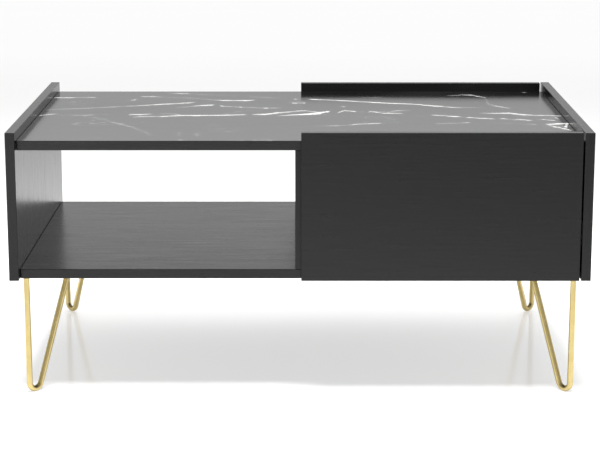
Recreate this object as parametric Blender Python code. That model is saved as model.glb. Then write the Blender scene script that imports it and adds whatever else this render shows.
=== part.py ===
"""Coffee table on hairpin legs, with an open bay on the left and a handleless drawer on the right.

Metres, +Z up, front towards -Y. The origin is on the floor, under the middle of the table.
Pieces that touch on the real table are kept apart by GAP.
"""

import math

import bmesh
import bpy

GAP = 0.0003

# Overall sizes
WIDTH = 0.970
DEPTH = 0.600
BODY_HEIGHT = 0.250
LEG_HEIGHT = 0.202

# Carcass
BOARD = 0.016
LIP = 0.016  # how far side panels, drawer front and back panel stand above the top
FRONT_SETBACK = 0.018  # front edges of top, shelf and divider behind the front plane
EDGE_RADIUS = 0.0008
END_PANEL_LEFT = 0.002  # left edge of drawer front and back panel, from the middle
END_PANEL_JOINT = 0.003  # open joint between those two and the right side panel

# Drawer
DRAWER_BOARD = 0.012
DRAWER_HEIGHT = 0.140
DRAWER_CLEARANCE = 0.018  # below the drawer, above the shelf
BASE_THICKNESS = 0.003
BASE_RAISE = 0.010  # underside of the base above the lower edge of the drawer sides
GROOVE_DEPTH = 0.006
FRONT_SCREW_SPACING = 0.240
FRONT_SCREW_LENGTH = 0.024
FRONT_SCREW_RADIUS = 0.0020
FRONT_SCREW_HEAD = 0.0024

# Runners
RUNNER_STEP = 0.050  # runners are made in lengths this far apart
RUNNER_THICKNESS = 0.0127
RUNNER_HEIGHT = 0.0450
RUNNER_SETBACK = 0.002  # behind the front edges of the boards
RUNNER_RAISE = 0.045  # middle of the runner above the lower edge of the drawer sides
RUNNER_SHEET = 0.0012
BALL_SPACE = 0.0034  # between two members, above and below
MIDDLE_SHORTER = 0.012
WEB_SPACE = 0.0018  # between the webs of cabinet and middle member
CABINET_RETURN = 0.0027  # cabinet member's flanges stop this far short of the drawer
CABINET_LIP = 0.0012
MIDDLE_RETURN = 0.0006  # middle member's flanges stop this far short of the drawer member's web
INNER_RETURN = 0.0012  # drawer member's flanges stop this far short of the middle member's web

# Push latch
PLUNGER_RADIUS = 0.0040
PLUNGER_TRAVEL = 0.003
PLUNGER_HELD = 0.020  # length of plunger inside the housing
PLUNGER_SHOWN = 0.010  # at least this much of it stands out of the housing
LATCH_DEPTH = 0.042
LATCH_WIDTH = 0.018
LATCH_FLANGE_HEIGHT = 0.038
LATCH_FLANGE_THICKNESS = 0.003
LATCH_FLANGE_RIM = 0.0005  # flange past the sides of the housing
LATCH_EDGE = 0.0015
PLUNGER_TIP = 0.0012  # rounding of the plunger's end

# Hairpin legs
ROD_RADIUS = 0.005
LEG_CORNER_INSET = 0.009  # axis of the upright limb, from the shelf's edges
LEG_LEAN = math.radians(19.5)
BEND_RADIUS = 0.012
PLATE_THICKNESS = 0.003
PLATE_RIM = 0.007  # plate past the axis of a limb
PLATE_CORNER_RADIUS = 0.006
PLATE_SCREW_RADIUS = 0.00175
PLATE_SCREW_HEAD_RADIUS = 0.0035
PLATE_SCREW_LENGTH = 0.0125
PLATE_SCREW_FROM_CORNER = 0.015

# Fittings that hold the boards together
CAM_RADIUS = 0.0075
CAM_HEIGHT = 0.0125
CAM_FROM_END = 0.034
CAM_FROM_FRONT = 0.120  # fittings behind the front edge and ahead of the back edge
CLAW_REACH = 0.004  # slot for the bolt's head, past the middle of the cam
BOLT_RADIUS = 0.0030
BOLT_HEAD_RADIUS = 0.0035
BOLT_IN_PANEL = 0.011
BOLT_CHAMFER = 0.0006
BOLT_HEAD_LENGTH = 0.0030
BOLT_NECK_LENGTH = 0.0040
BOLT_SHOULDER = 0.0008  # length of the slopes at both ends of the neck
DIVIDER_SCREW_RADIUS = 0.0025
DIVIDER_SCREW_LENGTH = 0.050

# Cross recesses, as the length and the width of a blade, and their depths
CAM_RECESS = (0.0100, 0.0013)
CAM_RECESS_DEPTH = 0.0016
DIVIDER_SCREW_RECESS = (0.0050, 0.0010)
DIVIDER_SCREW_RECESS_DEPTH = 0.0018
PLATE_SCREW_RECESS = (0.0040, 0.0008)
PLATE_SCREW_RECESS_DEPTH = 0.0012
FRONT_SCREW_RECESS = (0.0044, 0.0009)
FRONT_SCREW_RECESS_DEPTH = 0.0010

HEAD_RIM = 0.0004  # straight rim of a countersunk head
OVERSHOOT = 0.002  # cutters reach this far past the faces that they open
SHORT_OVERSHOOT = 0.001
SHARP_ANGLE = math.radians(35)
CORNER_STEPS = 4
TAU = 2 * math.pi
QUARTER = math.pi / 2

ROUND_SIDES = 20
ROD_SIDES = 16
SCREW_SIDES = 10
BEND_STEPS = 12

# Places that follow from the sizes
INNER_X = WIDTH / 2 - BOARD
BOARD_END_X = INNER_X - GAP
FRONT_Y = -DEPTH / 2
BACK_Y = DEPTH / 2
BOARD_FRONT_Y = FRONT_Y + FRONT_SETBACK
BOARD_BACK_Y = BACK_Y - BOARD - GAP
BODY_BOTTOM = LEG_HEIGHT
BODY_TOP = LEG_HEIGHT + BODY_HEIGHT
SHELF_TOP = BODY_BOTTOM + BOARD
TOP_SURFACE = BODY_TOP - LIP
TOP_UNDERSIDE = TOP_SURFACE - BOARD
END_PANEL_RIGHT = INNER_X - END_PANEL_JOINT

RUNNER_SPACE = RUNNER_THICKNESS + 2 * GAP
BOX_LEFT = BOARD / 2 + RUNNER_SPACE
BOX_RIGHT = INNER_X - RUNNER_SPACE
BOX_MIDDLE_X = (BOX_LEFT + BOX_RIGHT) / 2
BOX_FRONT = FRONT_Y + BOARD + GAP
# The longest runner that leaves room for the latch behind the drawer.
RUNNER_ROOM = BOARD_BACK_Y - BOX_FRONT - LATCH_DEPTH - PLUNGER_SHOWN
RUNNER_LENGTH = RUNNER_STEP * math.floor(RUNNER_ROOM / RUNNER_STEP)
BOX_BACK = BOX_FRONT + RUNNER_LENGTH
BOX_BOTTOM = SHELF_TOP + DRAWER_CLEARANCE
BOX_TOP = BOX_BOTTOM + DRAWER_HEIGHT
BOX_MIDDLE_Z = (BOX_BOTTOM + BOX_TOP) / 2
RUNNER_Z = BOX_BOTTOM + RUNNER_RAISE

LEG_X = INNER_X - LEG_CORNER_INSET
LEG_Y = -BOARD_FRONT_Y - LEG_CORNER_INSET
ROD_TOP = LEG_HEIGHT - GAP
# Distance between the limbs' upper ends, along the diagonal of the corner.
LEG_SPREAD = (
    BEND_RADIUS * (1 + math.cos(LEG_LEAN))
    + (ROD_TOP - ROD_RADIUS - BEND_RADIUS * (1 - math.sin(LEG_LEAN))) * math.tan(LEG_LEAN)
)
PLATE_SIDE = LEG_SPREAD / math.sqrt(2) + 2 * PLATE_RIM


def clear_scene():
    for obj in list(bpy.data.objects):
        bpy.data.objects.remove(obj)


def finish(name, color, roughness, metallic=0.0):
    material = bpy.data.materials.new(name)
    material.use_nodes = True
    shader = material.node_tree.nodes["Principled BSDF"]
    shader.inputs["Base Color"].default_value = (*color, 1.0)
    shader.inputs["Roughness"].default_value = roughness
    shader.inputs["Metallic"].default_value = metallic
    return material


def add(name, mesh, material, location=(0, 0, 0), rotation=(0, 0, 0), parent=None):
    """A named object; with a parent, location and rotation are in the parent's frame."""
    obj = bpy.data.objects.new(name, mesh)
    obj.location = location
    obj.rotation_euler = rotation
    obj.parent = parent
    if material and not mesh.materials:
        mesh.materials.append(material)
    bpy.context.scene.collection.objects.link(obj)
    return obj


def empty(name, location, turn=0.0):
    obj = bpy.data.objects.new(name, None)
    obj.location = location
    obj.rotation_euler = (0, 0, turn)
    obj.empty_display_size = 0.02
    bpy.context.scene.collection.objects.link(obj)
    return obj


def mesh_from(name, bm, smooth=False):
    bmesh.ops.recalc_face_normals(bm, faces=bm.faces)
    mesh = bpy.data.meshes.new(name)
    bm.to_mesh(mesh)
    bm.free()
    if smooth:
        mesh.shade_smooth()
        mesh.set_sharp_from_angle(angle=SHARP_ANGLE)
    return mesh


def bevel(obj, width, segments=2):
    modifier = obj.modifiers.new("edges", "BEVEL")
    modifier.width = width
    modifier.segments = segments
    modifier.limit_method = "ANGLE"
    modifier.use_clamp_overlap = True


def block(name, low, high, material, edge=EDGE_RADIUS, parent=None):
    """A board between two corners in world space, its origin in its middle, its edges rounded."""
    bm = bmesh.new()
    bmesh.ops.create_cube(bm, size=1.0)
    bmesh.ops.scale(bm, vec=[b - a for a, b in zip(low, high)], verts=bm.verts)
    middle = [(a + b) / 2 for a, b in zip(low, high)]
    if parent:
        middle = [m - p for m, p in zip(middle, parent.location)]
    obj = add(name, mesh_from(name, bm), material, middle, parent=parent)
    if edge:
        bevel(obj, edge)
    return obj


def turned_mesh(name, profile, sides):
    """A solid turned about Z from (radius, height) pairs, lowest first, with flat ends."""
    bm = bmesh.new()
    rings = []
    for radius, height in profile:
        ring = []
        for step in range(sides):
            angle = TAU * step / sides
            ring.append(bm.verts.new((radius * math.cos(angle), radius * math.sin(angle), height)))
        rings.append(ring)
    for lower, upper in zip(rings, rings[1:]):
        for step in range(sides):
            after = (step + 1) % sides
            bm.faces.new((lower[step], lower[after], upper[after], upper[step]))
    bm.faces.new(rings[0][::-1])
    bm.faces.new(rings[-1])
    return mesh_from(name, bm, smooth=True)


def extruded_mesh(name, outline, length):
    """An outline of (x, z) points, extruded along Y from 0 to length."""
    bm = bmesh.new()
    face = bm.faces.new([bm.verts.new((x, 0, z)) for x, z in outline])
    made = bmesh.ops.extrude_face_region(bm, geom=[face])
    moved = [item for item in made["geom"] if isinstance(item, bmesh.types.BMVert)]
    bmesh.ops.translate(bm, vec=(0, length, 0), verts=moved)
    return mesh_from(name, bm)


def cut(target, cutter):
    """Takes a cutter out of a piece. The cutter stays in the file as a wire guide."""
    cutter.hide_render = True
    cutter.display_type = "WIRE"
    modifier = target.modifiers.new("cut " + cutter.name, "BOOLEAN")
    modifier.operation = "DIFFERENCE"
    modifier.object = cutter


def cut_block(target, name, low, high, parent=None):
    cut(target, block(name, low, high, None, edge=0, parent=parent))


def cut_round(target, name, profile, sides, location, rotation=(0, 0, 0), parent=None):
    mesh = turned_mesh(name, profile, sides)
    cut(target, add(name, mesh, None, location, rotation, parent))


def settled(obj):
    """The mesh that an object's modifiers give, for copies to share. The object is removed."""
    bpy.context.view_layer.update()
    graph = bpy.context.evaluated_depsgraph_get()
    mesh = bpy.data.meshes.new_from_object(obj.evaluated_get(graph))
    mesh.name = obj.name
    bpy.data.objects.remove(obj)
    return mesh


def with_cross_recess(name, profile, sides, material, blade, depth):
    """A turned fastener whose lower end, at height 0, has a cross recess."""
    obj = add(name, turned_mesh(name, profile, sides), material)
    long, short = blade
    cut_block(obj, name + "_slot_x", (-long / 2, -short / 2, -depth), (long / 2, short / 2, depth))
    cut_block(obj, name + "_slot_y", (-short / 2, -long / 2, -depth), (short / 2, long / 2, depth))
    return settled(obj)


def countersunk(radius, head_radius, length):
    """Profile of a countersunk screw, head at height 0, pointing up."""
    return [
        (head_radius, 0),
        (head_radius, HEAD_RIM),
        (radius, HEAD_RIM + head_radius - radius),
        (radius, length - radius),
        (radius / 4, length),
    ]


def countersink(radius, head_radius, depth):
    """Cutter profile that leaves GAP round a countersunk screw, past both faces it goes through."""
    wide = head_radius + GAP
    narrow = radius + GAP
    return [
        (wide, -SHORT_OVERSHOOT),
        (wide, HEAD_RIM),
        (narrow, HEAD_RIM + head_radius - radius),
        (narrow, depth),
    ]


def make_carcass(laminate, marble):
    """Side panels, top, shelf, divider and back panel, as a name to object dictionary."""
    plan_low = (-BOARD_END_X, BOARD_FRONT_Y)
    plan_high = (BOARD_END_X, BOARD_BACK_Y)
    return {
        "side_panel_left": block(
            "side_panel_left", (-WIDTH / 2, FRONT_Y, BODY_BOTTOM), (-INNER_X, BACK_Y, BODY_TOP), laminate
        ),
        "side_panel_right": block(
            "side_panel_right", (INNER_X, FRONT_Y, BODY_BOTTOM), (WIDTH / 2, BACK_Y, BODY_TOP), laminate
        ),
        "table_top": block(
            "table_top", (*plan_low, TOP_UNDERSIDE), (*plan_high, TOP_SURFACE), marble
        ),
        "bottom_shelf": block(
            "bottom_shelf", (*plan_low, BODY_BOTTOM), (*plan_high, SHELF_TOP), laminate
        ),
        "divider": block(
            "divider",
            (-BOARD / 2, BOARD_FRONT_Y, SHELF_TOP + GAP),
            (BOARD / 2, BOARD_BACK_Y, TOP_UNDERSIDE - GAP),
            laminate,
        ),
        "back_panel": block(
            "back_panel",
            (END_PANEL_LEFT, BACK_Y - BOARD, BODY_BOTTOM),
            (END_PANEL_RIGHT, BACK_Y, BODY_TOP),
            laminate,
        ),
    }


def fit_cams(carcass, zinc, steel):
    """Cam discs in the undersides of top and shelf, and their bolts in the side panels."""
    disc = with_cross_recess(
        "cam_disc",
        [(CAM_RADIUS, 0), (CAM_RADIUS, CAM_HEIGHT)],
        ROUND_SIDES,
        zinc,
        CAM_RECESS,
        CAM_RECESS_DEPTH,
    )
    slot_width = 2 * (BOLT_HEAD_RADIUS + GAP)
    bolt_length = CAM_FROM_END - BOLT_HEAD_RADIUS + BOLT_IN_PANEL
    neck_radius = BOLT_RADIUS * 0.7
    neck_end = BOLT_HEAD_LENGTH + BOLT_NECK_LENGTH
    bolt = turned_mesh(
        "cam_bolt",
        [
            (BOLT_RADIUS * 0.8, 0),
            (BOLT_HEAD_RADIUS, 2 * BOLT_CHAMFER),
            (BOLT_HEAD_RADIUS, BOLT_HEAD_LENGTH),
            (neck_radius, BOLT_HEAD_LENGTH + BOLT_SHOULDER),
            (neck_radius, neck_end),
            (BOLT_RADIUS, neck_end + BOLT_SHOULDER),
            (BOLT_RADIUS, bolt_length - BOLT_CHAMFER),
            (BOLT_RADIUS - BOLT_CHAMFER, bolt_length),
        ],
        SCREW_SIDES,
    )
    bolt.materials.append(steel)
    for level, board_name, underside in (
        ("top", "table_top", TOP_UNDERSIDE),
        ("shelf", "bottom_shelf", BODY_BOTTOM),
    ):
        board = carcass[board_name]
        bolt_z = underside + BOARD / 2
        for side, sign in (("left", -1), ("right", 1)):
            for end, y in (
                ("front", BOARD_FRONT_Y + CAM_FROM_FRONT),
                ("back", BOARD_BACK_Y - CAM_FROM_FRONT),
            ):
                place = f"{level}_{side}_{end}"
                x = sign * (BOARD_END_X - CAM_FROM_END)
                cam = add(f"cam_disc_{place}", disc.copy(), None, (x, y, underside))
                claw = sorted((x - sign * CLAW_REACH, x + sign * 2 * CAM_RADIUS))
                cut_block(
                    cam,
                    f"cam_claw_{place}",
                    (claw[0], y - slot_width / 2, bolt_z - slot_width / 2),
                    (claw[1], y + slot_width / 2, underside + BOARD),
                )
                pocket_radius = CAM_RADIUS + GAP
                pocket = [(pocket_radius, -OVERSHOOT), (pocket_radius, CAM_HEIGHT + GAP)]
                cut_round(board, f"cam_pocket_{place}", pocket, ROUND_SIDES, (x, y, underside))
                outward = (0, sign * QUARTER, 0)
                bore_radius = BOLT_HEAD_RADIUS + GAP
                bore = [(bore_radius, -SHORT_OVERSHOOT), (bore_radius, CAM_FROM_END + OVERSHOOT)]
                cut_round(board, f"bolt_bore_{place}", bore, SCREW_SIDES, (x, y, bolt_z), outward)
                hole = [(BOLT_RADIUS + GAP, -OVERSHOOT), (BOLT_RADIUS + GAP, BOLT_IN_PANEL + GAP)]
                cut_round(
                    carcass[f"side_panel_{side}"],
                    f"bolt_hole_{place}",
                    hole,
                    SCREW_SIDES,
                    (sign * INNER_X, y, bolt_z),
                    outward,
                )
                start = x + sign * (BOLT_HEAD_RADIUS - GAP)
                add(f"cam_bolt_{place}", bolt, None, (start, y, bolt_z), outward)


def fit_divider_screws(carcass, steel):
    """Two long screws up through the shelf into the divider."""
    head_radius = 2 * DIVIDER_SCREW_RADIUS
    screw = with_cross_recess(
        "divider_screw",
        countersunk(DIVIDER_SCREW_RADIUS, head_radius, DIVIDER_SCREW_LENGTH),
        SCREW_SIDES,
        steel,
        DIVIDER_SCREW_RECESS,
        DIVIDER_SCREW_RECESS_DEPTH,
    )
    hole = countersink(DIVIDER_SCREW_RADIUS, head_radius, DIVIDER_SCREW_LENGTH + GAP)
    for end, y in (
        ("front", BOARD_FRONT_Y + CAM_FROM_FRONT),
        ("back", BOARD_BACK_Y - CAM_FROM_FRONT),
    ):
        place = (0, y, BODY_BOTTOM)
        add(f"divider_screw_{end}", screw, None, place)
        cut_round(carcass["bottom_shelf"], f"divider_screw_way_{end}", hole, SCREW_SIDES, place)
        cut_round(carcass["divider"], f"divider_screw_hole_{end}", hole, SCREW_SIDES, place)


def rod_mesh():
    """One bent rod. Its upright limb is on Z and its other limb leans out along +X."""
    bend_z = ROD_RADIUS + BEND_RADIUS
    path = [((0.0, ROD_TOP), 0.0)]
    for step in range(BEND_STEPS + 1):
        swept = (math.pi - LEG_LEAN) * step / BEND_STEPS
        point = (BEND_RADIUS * (1 - math.cos(swept)), bend_z - BEND_RADIUS * math.sin(swept))
        path.append((point, swept))
    path.append(((LEG_SPREAD, ROD_TOP), math.pi - LEG_LEAN))

    bm = bmesh.new()
    rings = []
    for (x, z), swept in path:
        across = (math.cos(swept), math.sin(swept))
        along = (math.sin(swept), -math.cos(swept))
        ring = []
        for step in range(ROD_SIDES):
            angle = TAU * step / ROD_SIDES
            out = ROD_RADIUS * math.cos(angle)
            px = x + across[0] * out
            pz = z + across[1] * out
            if z == ROD_TOP:
                px += along[0] / along[1] * (ROD_TOP - pz)
                pz = ROD_TOP
            ring.append(bm.verts.new((px, ROD_RADIUS * math.sin(angle), pz)))
        rings.append(ring)
    for first, second in zip(rings, rings[1:]):
        for step in range(ROD_SIDES):
            after = (step + 1) % ROD_SIDES
            bm.faces.new((first[step], first[after], second[after], second[step]))
    bm.faces.new(rings[0][::-1])
    bm.faces.new(rings[-1])
    return mesh_from("leg_rod", bm, smooth=True)


def plate_outline(side, corner):
    """A square with round corners, standing on one corner, centred on the origin."""
    points = []
    reach = side / 2 - corner
    half = math.sqrt(0.5)
    for quarter in range(4):
        middle = QUARTER * (quarter + 0.5)
        cx = math.copysign(reach, math.cos(middle))
        cy = math.copysign(reach, math.sin(middle))
        for step in range(CORNER_STEPS + 1):
            angle = QUARTER * (quarter + step / CORNER_STEPS)
            x = cx + corner * math.cos(angle)
            y = cy + corner * math.sin(angle)
            points.append(((x - y) * half, (x + y) * half))
    return points


def plate_mesh(name, grow, bottom, top):
    bm = bmesh.new()
    outline = plate_outline(PLATE_SIDE + 2 * grow, PLATE_CORNER_RADIUS + grow)
    face = bm.faces.new([bm.verts.new((x, y, bottom)) for x, y in outline])
    made = bmesh.ops.extrude_face_region(bm, geom=[face])
    moved = [item for item in made["geom"] if isinstance(item, bmesh.types.BMVert)]
    bmesh.ops.translate(bm, vec=(0, 0, top - bottom), verts=moved)
    return mesh_from(name, bm)


def make_legs(shelf, gold, steel):
    """Four hairpin legs, each a rod, a plate let into the shelf and three screws."""
    rod = rod_mesh()
    rod.materials.append(gold)
    screw = with_cross_recess(
        "leg_screw",
        countersunk(PLATE_SCREW_RADIUS, PLATE_SCREW_HEAD_RADIUS, PLATE_SCREW_LENGTH),
        SCREW_SIDES,
        steel,
        PLATE_SCREW_RECESS,
        PLATE_SCREW_RECESS_DEPTH,
    )
    hole = countersink(PLATE_SCREW_RADIUS, PLATE_SCREW_HEAD_RADIUS, PLATE_SCREW_LENGTH + GAP)
    sideways = PLATE_SIDE / math.sqrt(2) - PLATE_SCREW_FROM_CORNER
    middle = LEG_SPREAD / 2
    for end, y_sign in (("front", -1), ("back", 1)):
        for side, x_sign in (("left", -1), ("right", 1)):
            corner = f"{end}_{side}"
            inward = math.atan2(-y_sign, -x_sign)
            frame = empty(f"leg_{corner}", (x_sign * LEG_X, y_sign * LEG_Y, 0), inward)
            add(f"leg_rod_{corner}", rod, None, parent=frame)
            plate = add(
                f"leg_plate_{corner}",
                plate_mesh("leg_plate", 0, 0, PLATE_THICKNESS),
                gold,
                (middle, 0, LEG_HEIGHT),
                parent=frame,
            )
            pocket = plate_mesh("plate_pocket", GAP, -OVERSHOOT, PLATE_THICKNESS + GAP)
            place = (middle, 0, LEG_HEIGHT)
            cut(shelf, add(f"plate_pocket_{corner}", pocket, None, place, parent=frame))
            for number, y in enumerate((-sideways, 0, sideways), start=1):
                place = (middle, y, LEG_HEIGHT)
                add(f"leg_screw_{corner}_{number}", screw, None, place, parent=frame)
                for target, what in ((plate, "way"), (shelf, "hole")):
                    name = f"leg_screw_{what}_{corner}_{number}"
                    cut_round(target, name, hole, SCREW_SIDES, place, parent=frame)


def channel(depth, half_height, lip=0.0):
    """Outline of a sheet channel open towards +X, its web at X 0, with optional turned-in lips."""
    t = RUNNER_SHEET
    h = half_height
    if lip:
        tip = [(depth, h), (depth, h - t - lip), (depth - t, h - t - lip), (depth - t, h - t)]
    else:
        tip = [(depth, h), (depth, h - t)]
    upper = [(0, h), *tip, (t, h - t)]
    lower = [(x, -z) for x, z in reversed(upper)]
    return upper + lower


def make_runners(steel, drawer, middles):
    """Two telescopic runners, each a cabinet, a middle and a drawer member nested in each other."""
    front = BOARD_FRONT_Y + RUNNER_SETBACK
    outer_half = RUNNER_HEIGHT / 2
    middle_half = outer_half - RUNNER_SHEET - BALL_SPACE
    inner_half = middle_half - RUNNER_SHEET - BALL_SPACE
    middle_web = RUNNER_SHEET + WEB_SPACE
    room = RUNNER_THICKNESS - middle_web - RUNNER_SHEET
    cabinet = channel(RUNNER_THICKNESS - CABINET_RETURN, outer_half, lip=CABINET_LIP)
    middle = channel(room - MIDDLE_RETURN, middle_half)
    inner = channel(room - INNER_RETURN, inner_half)
    for side, wall, sign in (("left", BOARD / 2, 1), ("right", INNER_X, -1)):
        members = (
            ("cabinet", cabinet, GAP, 1, RUNNER_LENGTH, None),
            ("middle", middle, GAP + middle_web, 1, RUNNER_LENGTH - MIDDLE_SHORTER, middles[side]),
            ("drawer", inner, GAP + RUNNER_THICKNESS, -1, RUNNER_LENGTH, drawer),
        )
        for role, outline, from_wall, opens, length, parent in members:
            name = f"runner_{role}_{side}"
            shaped = [(sign * opens * x, z) for x, z in outline]
            mesh = extruded_mesh(name, shaped, length)
            y = front + (RUNNER_LENGTH - length) / 2
            place = [wall + sign * from_wall, y, RUNNER_Z]
            if parent:
                place = [a - b for a, b in zip(place, parent.location)]
            add(name, mesh, steel, place, parent=parent)


def make_drawer(laminate, box_board, base_board, steel, drawer):
    """The drawer box, its base in grooves, and the front that two screws hold to it."""
    inner_left = BOX_LEFT + DRAWER_BOARD
    inner_right = BOX_RIGHT - DRAWER_BOARD
    inner_front = BOX_FRONT + DRAWER_BOARD
    inner_back = BOX_BACK - DRAWER_BOARD
    front = block(
        "drawer_front",
        (END_PANEL_LEFT, FRONT_Y, BODY_BOTTOM),
        (END_PANEL_RIGHT, FRONT_Y + BOARD, BODY_TOP),
        laminate,
        parent=drawer,
    )
    walls = {
        "drawer_side_left": ((BOX_LEFT, BOX_FRONT), (inner_left, BOX_BACK)),
        "drawer_side_right": ((inner_right, BOX_FRONT), (BOX_RIGHT, BOX_BACK)),
        "drawer_inner_front": ((inner_left + GAP, BOX_FRONT), (inner_right - GAP, inner_front)),
        "drawer_back": ((inner_left + GAP, inner_back), (inner_right - GAP, BOX_BACK)),
    }
    base_z = BOX_BOTTOM + BASE_RAISE
    base_low = (inner_left - GROOVE_DEPTH, inner_front - GROOVE_DEPTH, base_z)
    base_high = (inner_right + GROOVE_DEPTH, inner_back + GROOVE_DEPTH, base_z + BASE_THICKNESS)
    block(
        "drawer_base",
        [v + GAP for v in base_low],
        [v - GAP for v in base_high],
        base_board,
        edge=0,
        parent=drawer,
    )
    made = {}
    for name, (low, high) in walls.items():
        made[name] = block(
            name, (*low, BOX_BOTTOM), (*high, BOX_TOP), box_board, edge=EDGE_RADIUS / 2, parent=drawer
        )
        cut_block(made[name], f"groove_{name}", base_low, base_high, parent=drawer)

    head = FRONT_SCREW_HEAD
    head_radius = 2 * FRONT_SCREW_RADIUS
    screw = with_cross_recess(
        "front_screw",
        [
            (head_radius * 0.8, 0),
            (head_radius, head / 3),
            (head_radius, head - GAP),
            (FRONT_SCREW_RADIUS, head - GAP),
            (FRONT_SCREW_RADIUS, head + FRONT_SCREW_LENGTH - FRONT_SCREW_RADIUS),
            (FRONT_SCREW_RADIUS / 4, head + FRONT_SCREW_LENGTH),
        ],
        SCREW_SIDES,
        steel,
        FRONT_SCREW_RECESS,
        FRONT_SCREW_RECESS_DEPTH,
    )
    hole_radius = FRONT_SCREW_RADIUS + GAP
    hole = [(hole_radius, head - OVERSHOOT), (hole_radius, head + FRONT_SCREW_LENGTH + GAP)]
    forward = (QUARTER, 0, 0)
    for side, sign in (("left", -1), ("right", 1)):
        place = (BOX_MIDDLE_X + sign * FRONT_SCREW_SPACING / 2, inner_front + head, BOX_MIDDLE_Z)
        place = [a - b for a, b in zip(place, drawer.location)]
        add(f"front_screw_{side}", screw, None, place, forward, drawer)
        for target, what in ((made["drawer_inner_front"], "way"), (front, "hole")):
            name = f"front_screw_{what}_{side}"
            cut_round(target, name, hole, SCREW_SIDES, place, forward, drawer)


def make_latch(plastic, plunger_plastic, latch):
    """Push latch on the back panel: a housing with a bore, and the plunger that the drawer presses."""
    base_y = BACK_Y - BOARD - GAP
    mouth_y = base_y - LATCH_DEPTH
    half = LATCH_WIDTH / 2
    housing = block(
        "latch_housing",
        (BOX_MIDDLE_X - half, mouth_y, BOX_MIDDLE_Z - half),
        (BOX_MIDDLE_X + half, base_y, BOX_MIDDLE_Z + half),
        plastic,
        edge=LATCH_EDGE,
    )
    wide = half + LATCH_FLANGE_RIM
    tall = LATCH_FLANGE_HEIGHT / 2
    flange = block(
        "latch_flange",
        (BOX_MIDDLE_X - wide, base_y - LATCH_FLANGE_THICKNESS, BOX_MIDDLE_Z - tall),
        (BOX_MIDDLE_X + wide, base_y, BOX_MIDDLE_Z + tall),
        None,
        edge=0,
    )
    cut(housing, flange)
    housing.modifiers[-1].operation = "UNION"
    bore = [
        (PLUNGER_RADIUS + GAP, -OVERSHOOT),
        (PLUNGER_RADIUS + GAP, PLUNGER_HELD + PLUNGER_TRAVEL + GAP),
    ]
    backward = (-QUARTER, 0, 0)
    cut_round(
        housing, "latch_bore", bore, ROUND_SIDES, (BOX_MIDDLE_X, mouth_y, BOX_MIDDLE_Z), backward
    )
    tip_y = BOX_BACK + GAP
    length = mouth_y + PLUNGER_HELD - tip_y
    plunger = turned_mesh(
        "latch_plunger",
        [
            (PLUNGER_RADIUS - PLUNGER_TIP, 0),
            (PLUNGER_RADIUS - PLUNGER_TIP * 0.3, PLUNGER_TIP * 0.3),
            (PLUNGER_RADIUS, PLUNGER_TIP),
            (PLUNGER_RADIUS, length),
        ],
        ROUND_SIDES,
    )
    add("latch_plunger", plunger, plunger_plastic, (0, 0, 0), backward, latch)
    latch.location = (BOX_MIDDLE_X, tip_y, BOX_MIDDLE_Z)


def main():
    clear_scene()
    laminate = finish("black_laminate", (0.018, 0.018, 0.019), 0.5)
    marble = finish("black_marble_laminate", (0.014, 0.014, 0.015), 0.22)
    box_board = finish("drawer_board", (0.05, 0.05, 0.052), 0.55)
    base_board = finish("drawer_base_board", (0.08, 0.08, 0.082), 0.6)
    gold = finish("gold_steel", (0.72, 0.55, 0.20), 0.3, 1.0)
    zinc = finish("zinc", (0.55, 0.55, 0.56), 0.4, 1.0)
    steel = finish("plated_steel", (0.60, 0.60, 0.62), 0.3, 1.0)
    plastic = finish("grey_plastic", (0.12, 0.12, 0.13), 0.5)
    plunger_plastic = finish("white_plastic", (0.6, 0.6, 0.6), 0.4)

    drawer = empty("drawer_slide", (BOX_MIDDLE_X, BOX_FRONT, BOX_MIDDLE_Z))
    middles = {
        "left": empty("runner_slide_left", (BOARD / 2, BOX_FRONT, RUNNER_Z)),
        "right": empty("runner_slide_right", (INNER_X, BOX_FRONT, RUNNER_Z)),
    }
    latch = empty("latch_slide", (BOX_MIDDLE_X, BOX_BACK, BOX_MIDDLE_Z))

    carcass = make_carcass(laminate, marble)
    fit_cams(carcass, zinc, steel)
    fit_divider_screws(carcass, steel)
    make_legs(carcass["bottom_shelf"], gold, steel)
    make_drawer(laminate, box_board, base_board, steel, drawer)
    make_runners(steel, drawer, middles)
    make_latch(plastic, plunger_plastic, latch)


main()
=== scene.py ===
"""Looks of a coffee table with an open bay, a handleless drawer and hairpin legs.

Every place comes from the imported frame; lengths are in metres, +Z up, front towards -Y.
"""

import logging
import math
from dataclasses import dataclass, field
from enum import Enum
from typing import Any, Iterable, Sequence

import bmesh
import bpy
from bmesh.types import BMesh
from bpy.types import Material, Node, NodeTree, Object
from bpy.types import NodeSocket as Socket
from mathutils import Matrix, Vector


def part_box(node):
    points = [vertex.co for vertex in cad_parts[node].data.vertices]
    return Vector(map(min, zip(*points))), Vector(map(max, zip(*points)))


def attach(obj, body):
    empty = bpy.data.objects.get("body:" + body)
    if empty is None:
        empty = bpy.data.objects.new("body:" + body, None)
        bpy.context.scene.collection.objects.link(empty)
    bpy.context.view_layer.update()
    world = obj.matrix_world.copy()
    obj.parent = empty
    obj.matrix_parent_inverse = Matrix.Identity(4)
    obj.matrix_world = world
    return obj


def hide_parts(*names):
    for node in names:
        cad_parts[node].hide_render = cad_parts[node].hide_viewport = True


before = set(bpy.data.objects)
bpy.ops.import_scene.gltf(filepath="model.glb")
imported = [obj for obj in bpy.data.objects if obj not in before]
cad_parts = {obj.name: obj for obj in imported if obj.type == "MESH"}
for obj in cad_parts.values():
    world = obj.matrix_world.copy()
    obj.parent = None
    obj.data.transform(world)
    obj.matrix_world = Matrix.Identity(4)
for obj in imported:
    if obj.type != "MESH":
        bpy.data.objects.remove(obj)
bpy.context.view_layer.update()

SHARP_ANGLE = math.radians(35)
ROUND_STEPS = 6  # steps in a small round corner
SPIN_SEED = 7  # for the turn of each screw's recess
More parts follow.
